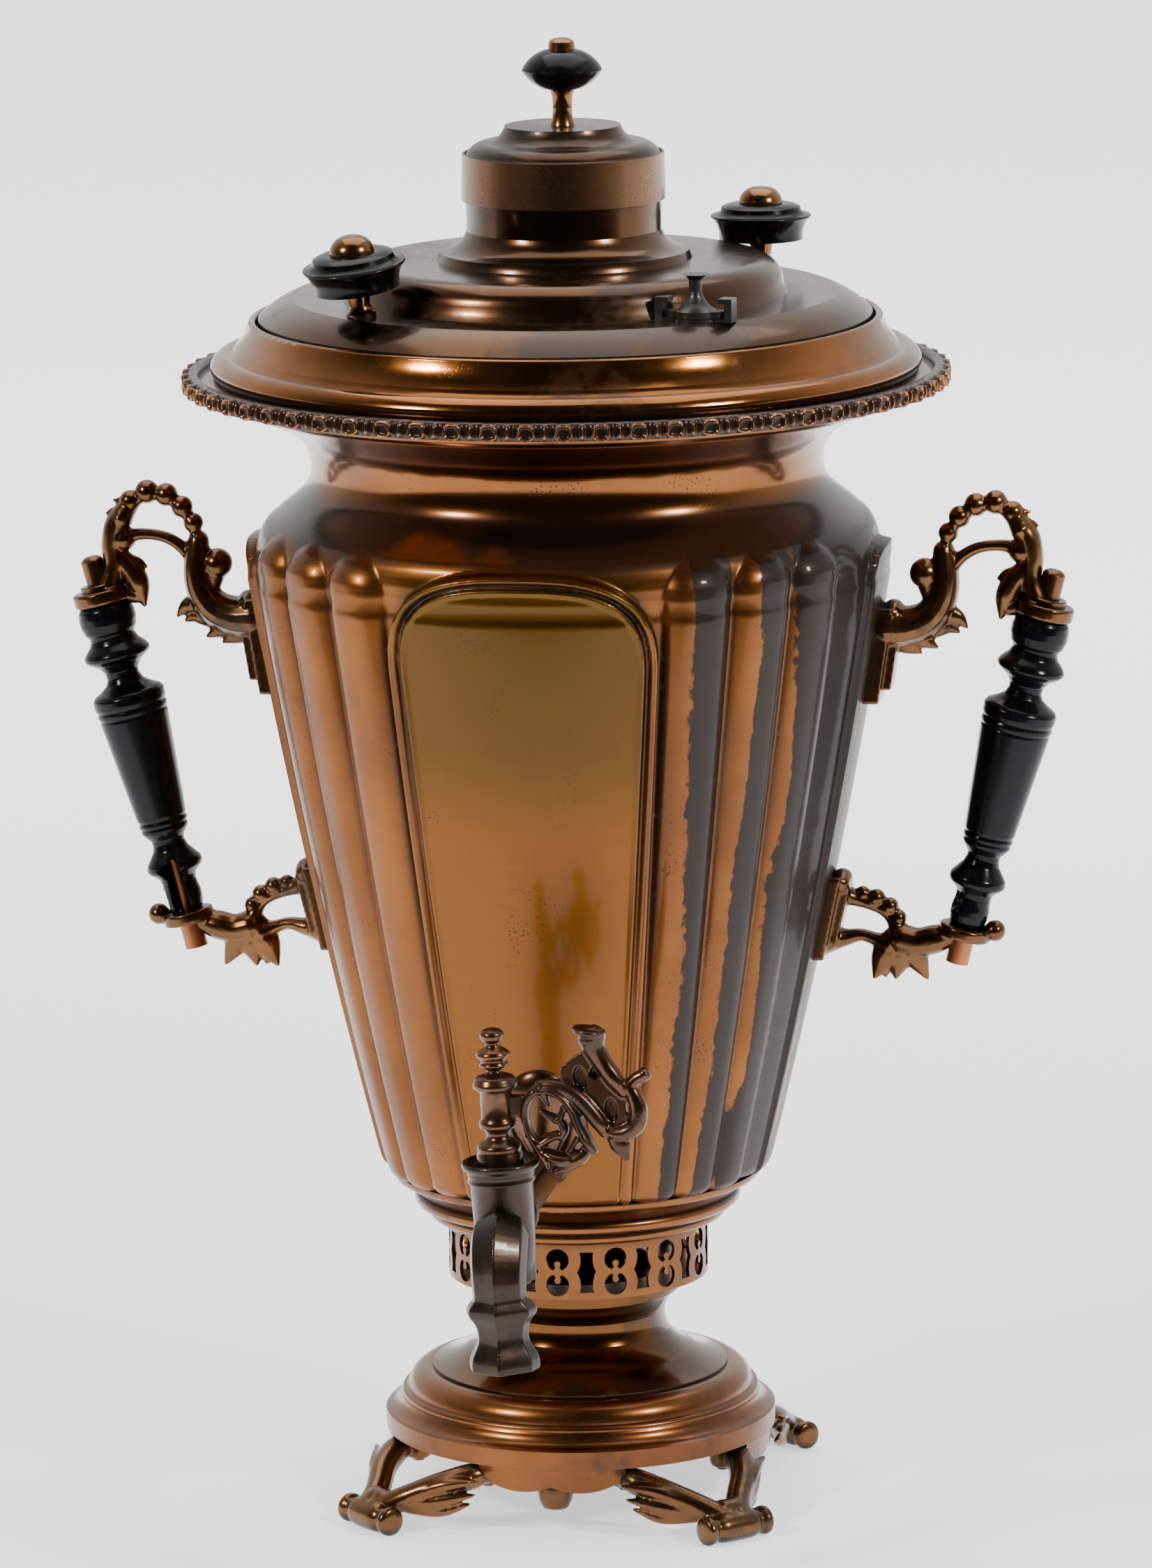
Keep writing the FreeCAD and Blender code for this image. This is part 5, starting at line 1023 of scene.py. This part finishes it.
lever_scrolls = [
    (2.2, [(16.8, 50, 0.5), (14, 46.6, 1.4), (11.2, 43.4, 1.3), (9.9, 38.7, 1.2), (10.6, 32.6, 1.2),
           (13.2, 27.1, 1.3), (15.4, 22.4, 1.2), (16.6, 18.6, 0.5)]),
    (2.2, [(14.6, 46.4, 1.2), (19, 46.4, 1.3), (23.4, 43.8, 1.3), (26.6, 39.2, 1.4), (28.8, 33, 1.5),
           (31.2, 27.8, 1.6), (33.6, 24.2, 0.9)]),
    (1.8, [(16.4, 46.6, 1.4), (17.2, 44.2, 1.2), (18.6, 41, 0.4)]),
    (1.8, [(16, 39, 0.7), (19, 37, 1.1), (21.8, 36.2, 1.3), (23.8, 40.8, 1)]),
    (1.8, [(21.8, 36.2, 1.3), (23.4, 32.4, 1.3), (22, 29.6, 1.2)]),
    (2, [(10.8, 31, 1.2), (14.2, 27.8, 1.4), (17.8, 29.4, 1.4), (21.2, 30.6, 1.2)]),
    (1.8, [(14.6, 25.2, 1), (18.4, 22.6, 1.9), (22.4, 21.6, 1.9), (26.6, 22.4, 1)]),
    (1.6, [(24.6, 24.4, 0.9), (27.4, 28.4, 0.9), (29.2, 30.8, 0.9), (30.4, 27.6, 0.9), (28.6, 24, 0.9),
           (24.8, 23.8, 0.9)]),
    (1.1, [(19, 17.6, 1), (23.6, 20, 2.2), (28, 22, 2.2), (31.4, 24.6, 1.2)]),
    (1, [(15.8, 48.4, 1.6), (21, 47.8, 2.2), (26.6, 45.4, 2.4), (31.6, 40.4, 2.4), (35.6, 34.6, 2.3),
           (37.6, 30.6, 1.6)]),
    (1, [(35, 64.6, 4), (35.8, 61, 3.1), (38.6, 55.4, 2.6), (42.4, 49.4, 2.5), (44.8, 45.2, 1.6)]),
    (1, [(52.6, 51, 1.9), (49.4, 49.4, 1.8), (47.4, 46.8, 1.9), (48.8, 43, 2.2), (49.8, 38.4, 2.5),
           (48.8, 33.4, 2.5), (45.6, 30.8, 2.3), (41.4, 30.2, 2), (37.8, 31.6, 1.4)]),
    (0.55, [(41.2, 29.4, 2.6), (43, 25.4, 2.8), (44.6, 21.4, 1)]),
]
lever_plate = [
    (23.5, 54.4), (29, 58.6), (34.6, 61.4), (39.2, 55.6), (42.8, 49.4), (45.2, 44.4), (45.6, 36),
    (44, 31.6), (41, 30.4), (37, 33.6), (33.6, 39.6), (30, 44.4), (25.6, 48), (23.2, 51),
]
lever_holes = [oval(30.0, 50.4, 2.3, 4.4, 6), oval(35.8, 52.4, 2.2, 2.1), oval(40.2, 38.8, 2.1, 4.2, 4)]
lever_fullness = 1.3
# The lever is drawn a little large, and is squeezed towards the barrel's lip
lip_level = 20.0
squeeze = (
    Matrix.Translation((0, 0, lip_level * MM)) @ Matrix.Diagonal((0.96, 1, 0.95, 1))
    @ Matrix.Translation((0, 0, -lip_level * MM)))


def key_with_lever():
    """The openwork lever, and the turned plug and finial that it is cast on."""
    shape = bmesh.new()
    add_scrolls(shape, lever_scrolls, lever_fullness)
    add_plate(shape, [lever_plate, *lever_holes], -0.5, 2.2)
    # The second plate, without holes, closes the pierced plate from behind, so that its holes show as dark
    # recesses: a sheet put where the shade in the holes is.
    add_plate(shape, [lever_plate], 1.4, 1.2)
    add_plate(shape, [[(3.0, 37.4), (10.6, 37.4), (10.6, 45.2), (3.0, 45.2)]], -1.9, 3.8)
    add_drum(shape, (33.8, 0, 65.4), (34.4, 0, 68.2), [(0, 3.4), (0.3, 5.6), (0.7, 6.0), (1, 5.6)])
    add_drum(shape, (52.0, 0, 50.6), (53.6, 0, 52.0), [(0, 1.9), (0.5, 2.5), (1, 2.4)])
    lever = cast("key_lever", shape, 0.45, 1)
    lever.transform(squeeze)
    shape = bmesh.new()
    shape.from_mesh(lever)
    foot, top = plug_rows[0][1], plug_rows[-1][1]
    profile = [((z - foot) / (top - foot), radius) for radius, z in plug_rows]
    add_drum(shape, (0, 0, foot), (0, 0, top), profile, 64)
    mesh = as_mesh("key_with_lever", shape)
    mesh.transform(tap_place)
    return mesh


def gasket_leather():
    """Waxed ox hide, matt brown with fine pores."""
    material, node = new_finish("gasket_leather")
    pores = grain(node, node("TexCoord", out="Object"), 1.2)
    hide = node("Mix", {0: pores, 6: linear("#4A3324"), 7: linear("#6A4A34")}, **colours)
    node("OutputMaterial", {"Surface": node("BsdfPrincipled", {"Base Color": hide, "Roughness": 0.75})})
    return material


dark_cast = antiqued_metal(
    "darkened_tap_casting", ("#463529", "#382B24"), "#1C1816", "#4C544A", coverage=0.7, pits=0.6, shine=0.3)
worn_cast = antiqued_metal(
    "worn_key_casting", ("#6E4930", "#4A3426"), "#1D1714", "#4C544A", coverage=0.62, pits=0.4, shine=0.22)
paint(dark_cast, "tap_washer", "tap_end_nut", "tap_lock_nut")
paint(gasket_leather(), "tap_gasket")
casting = new_piece("tap_casting", tap_casting(), "base", dark_cast)
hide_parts("tap_body")
shell = new_piece("shell_escutcheon", shell_escutcheon(), "base", worn_cast)
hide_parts("tap_escutcheon")
lever = new_piece("key_with_lever", key_with_lever(), "key", worn_cast)
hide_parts("tap_key", "tap_finial")


# Studio
# A pale paper floor that runs back into a pale background, brighter the farther off it is.
# Two soft boxes stand in front and one hangs above.


def studio_floor():
    material, node = new_finish("pale_paper_floor")
    away = node("SeparateXYZ", [node("TexCoord", out="Object")], "Y")
    surface = node("BsdfPrincipled", {
        "Base Color": linear("#F4F4F7"),
        "Roughness": 0.7,
        "Emission Color": linear("#F4F4F7"),
        "Emission Strength": node("MapRange", [away, 0.1, 2.0, 1.0, 1.9], **soft),
    })
    node("OutputMaterial", {"Surface": surface})
    mesh = bpy.data.meshes.new("floor")
    mesh.from_pydata([(-6, -0.7, 0), (6, -0.7, 0), (6, 9, 0), (-6, 9, 0)], [], [(0, 1, 2, 3)])
    mesh.materials.append(material)
    put_in_scene("floor", mesh)


def soft_box(name, place, aim_height, width, height, power):
    light = bpy.data.lights.new(name, "AREA")
    light.shape = "RECTANGLE"
    light.size = width
    light.size_y = height
    light.energy = power
    lamp = put_in_scene(name, light)
    lamp.location = place
    lamp.rotation_euler = (Vector((0, 0, aim_height)) - Vector(place)).to_track_quat("-Z", "Y").to_euler()


studio_floor()
soft_box("box_left", (-1.9, -1.92, 1.95), 0.25, 0.42, 0.34, 62)
soft_box("box_right", (2.4, -1.3, 1.95), 0.25, 0.42, 0.34, 62)
soft_box("box_top", (0.0, 0.6, 3.0), 0.2, 3.0, 3.0, 60)
world = bpy.data.worlds.new("studio")
bpy.context.scene.world = world
world.use_nodes = True
world.node_tree.nodes.clear()
sky = partial(add_node, world.node_tree)
ahead = sky("SeparateXYZ", [sky("TexCoord", out="Generated")], "Y")
behind = sky("MapRange", [ahead, -0.5, 0.6], **soft)
glow = sky("Mix", {0: behind, 6: linear("#3A3A3C"), 7: linear("#FFFFFF")}, **colours)
sky("OutputWorld", {"Surface": sky("Background", {"Color": glow, "Strength": 1.0})})


# Camera
# A long lens, solved from the ellipses of the rings and the feet.
# It stands 3.03 m away, 0.85 m up and a little to the right of the tap.
image_height = 2249
focal_pixels = 12738
off_tap = math.radians(9.4)
pitch = math.radians(11.13)
roll = math.radians(0.81)
aside, distance, height = 0.0014, 3.029, 0.84796
lens = bpy.data.cameras.new("camera")
lens.sensor_width = 36
lens.lens = 36 * focal_pixels / image_height
lens.clip_end = 50
camera = put_in_scene("camera", lens)
bpy.context.scene.camera = camera
level_right = Vector((math.cos(off_tap), math.sin(off_tap), 0))
level_ahead = Vector((-math.sin(off_tap), math.cos(off_tap), 0))
upward = level_ahead * math.sin(pitch) + Vector((0, 0, math.cos(pitch)))
right = level_right * math.cos(roll) - upward * math.sin(roll)
up = level_right * math.sin(roll) + upward * math.cos(roll)
back = right.cross(up)
place = level_right * aside - level_ahead * distance + Vector((0, 0, height))
camera.matrix_world = Matrix.Translation(place) @ Matrix((right, up, back)).transposed().to_4x4()
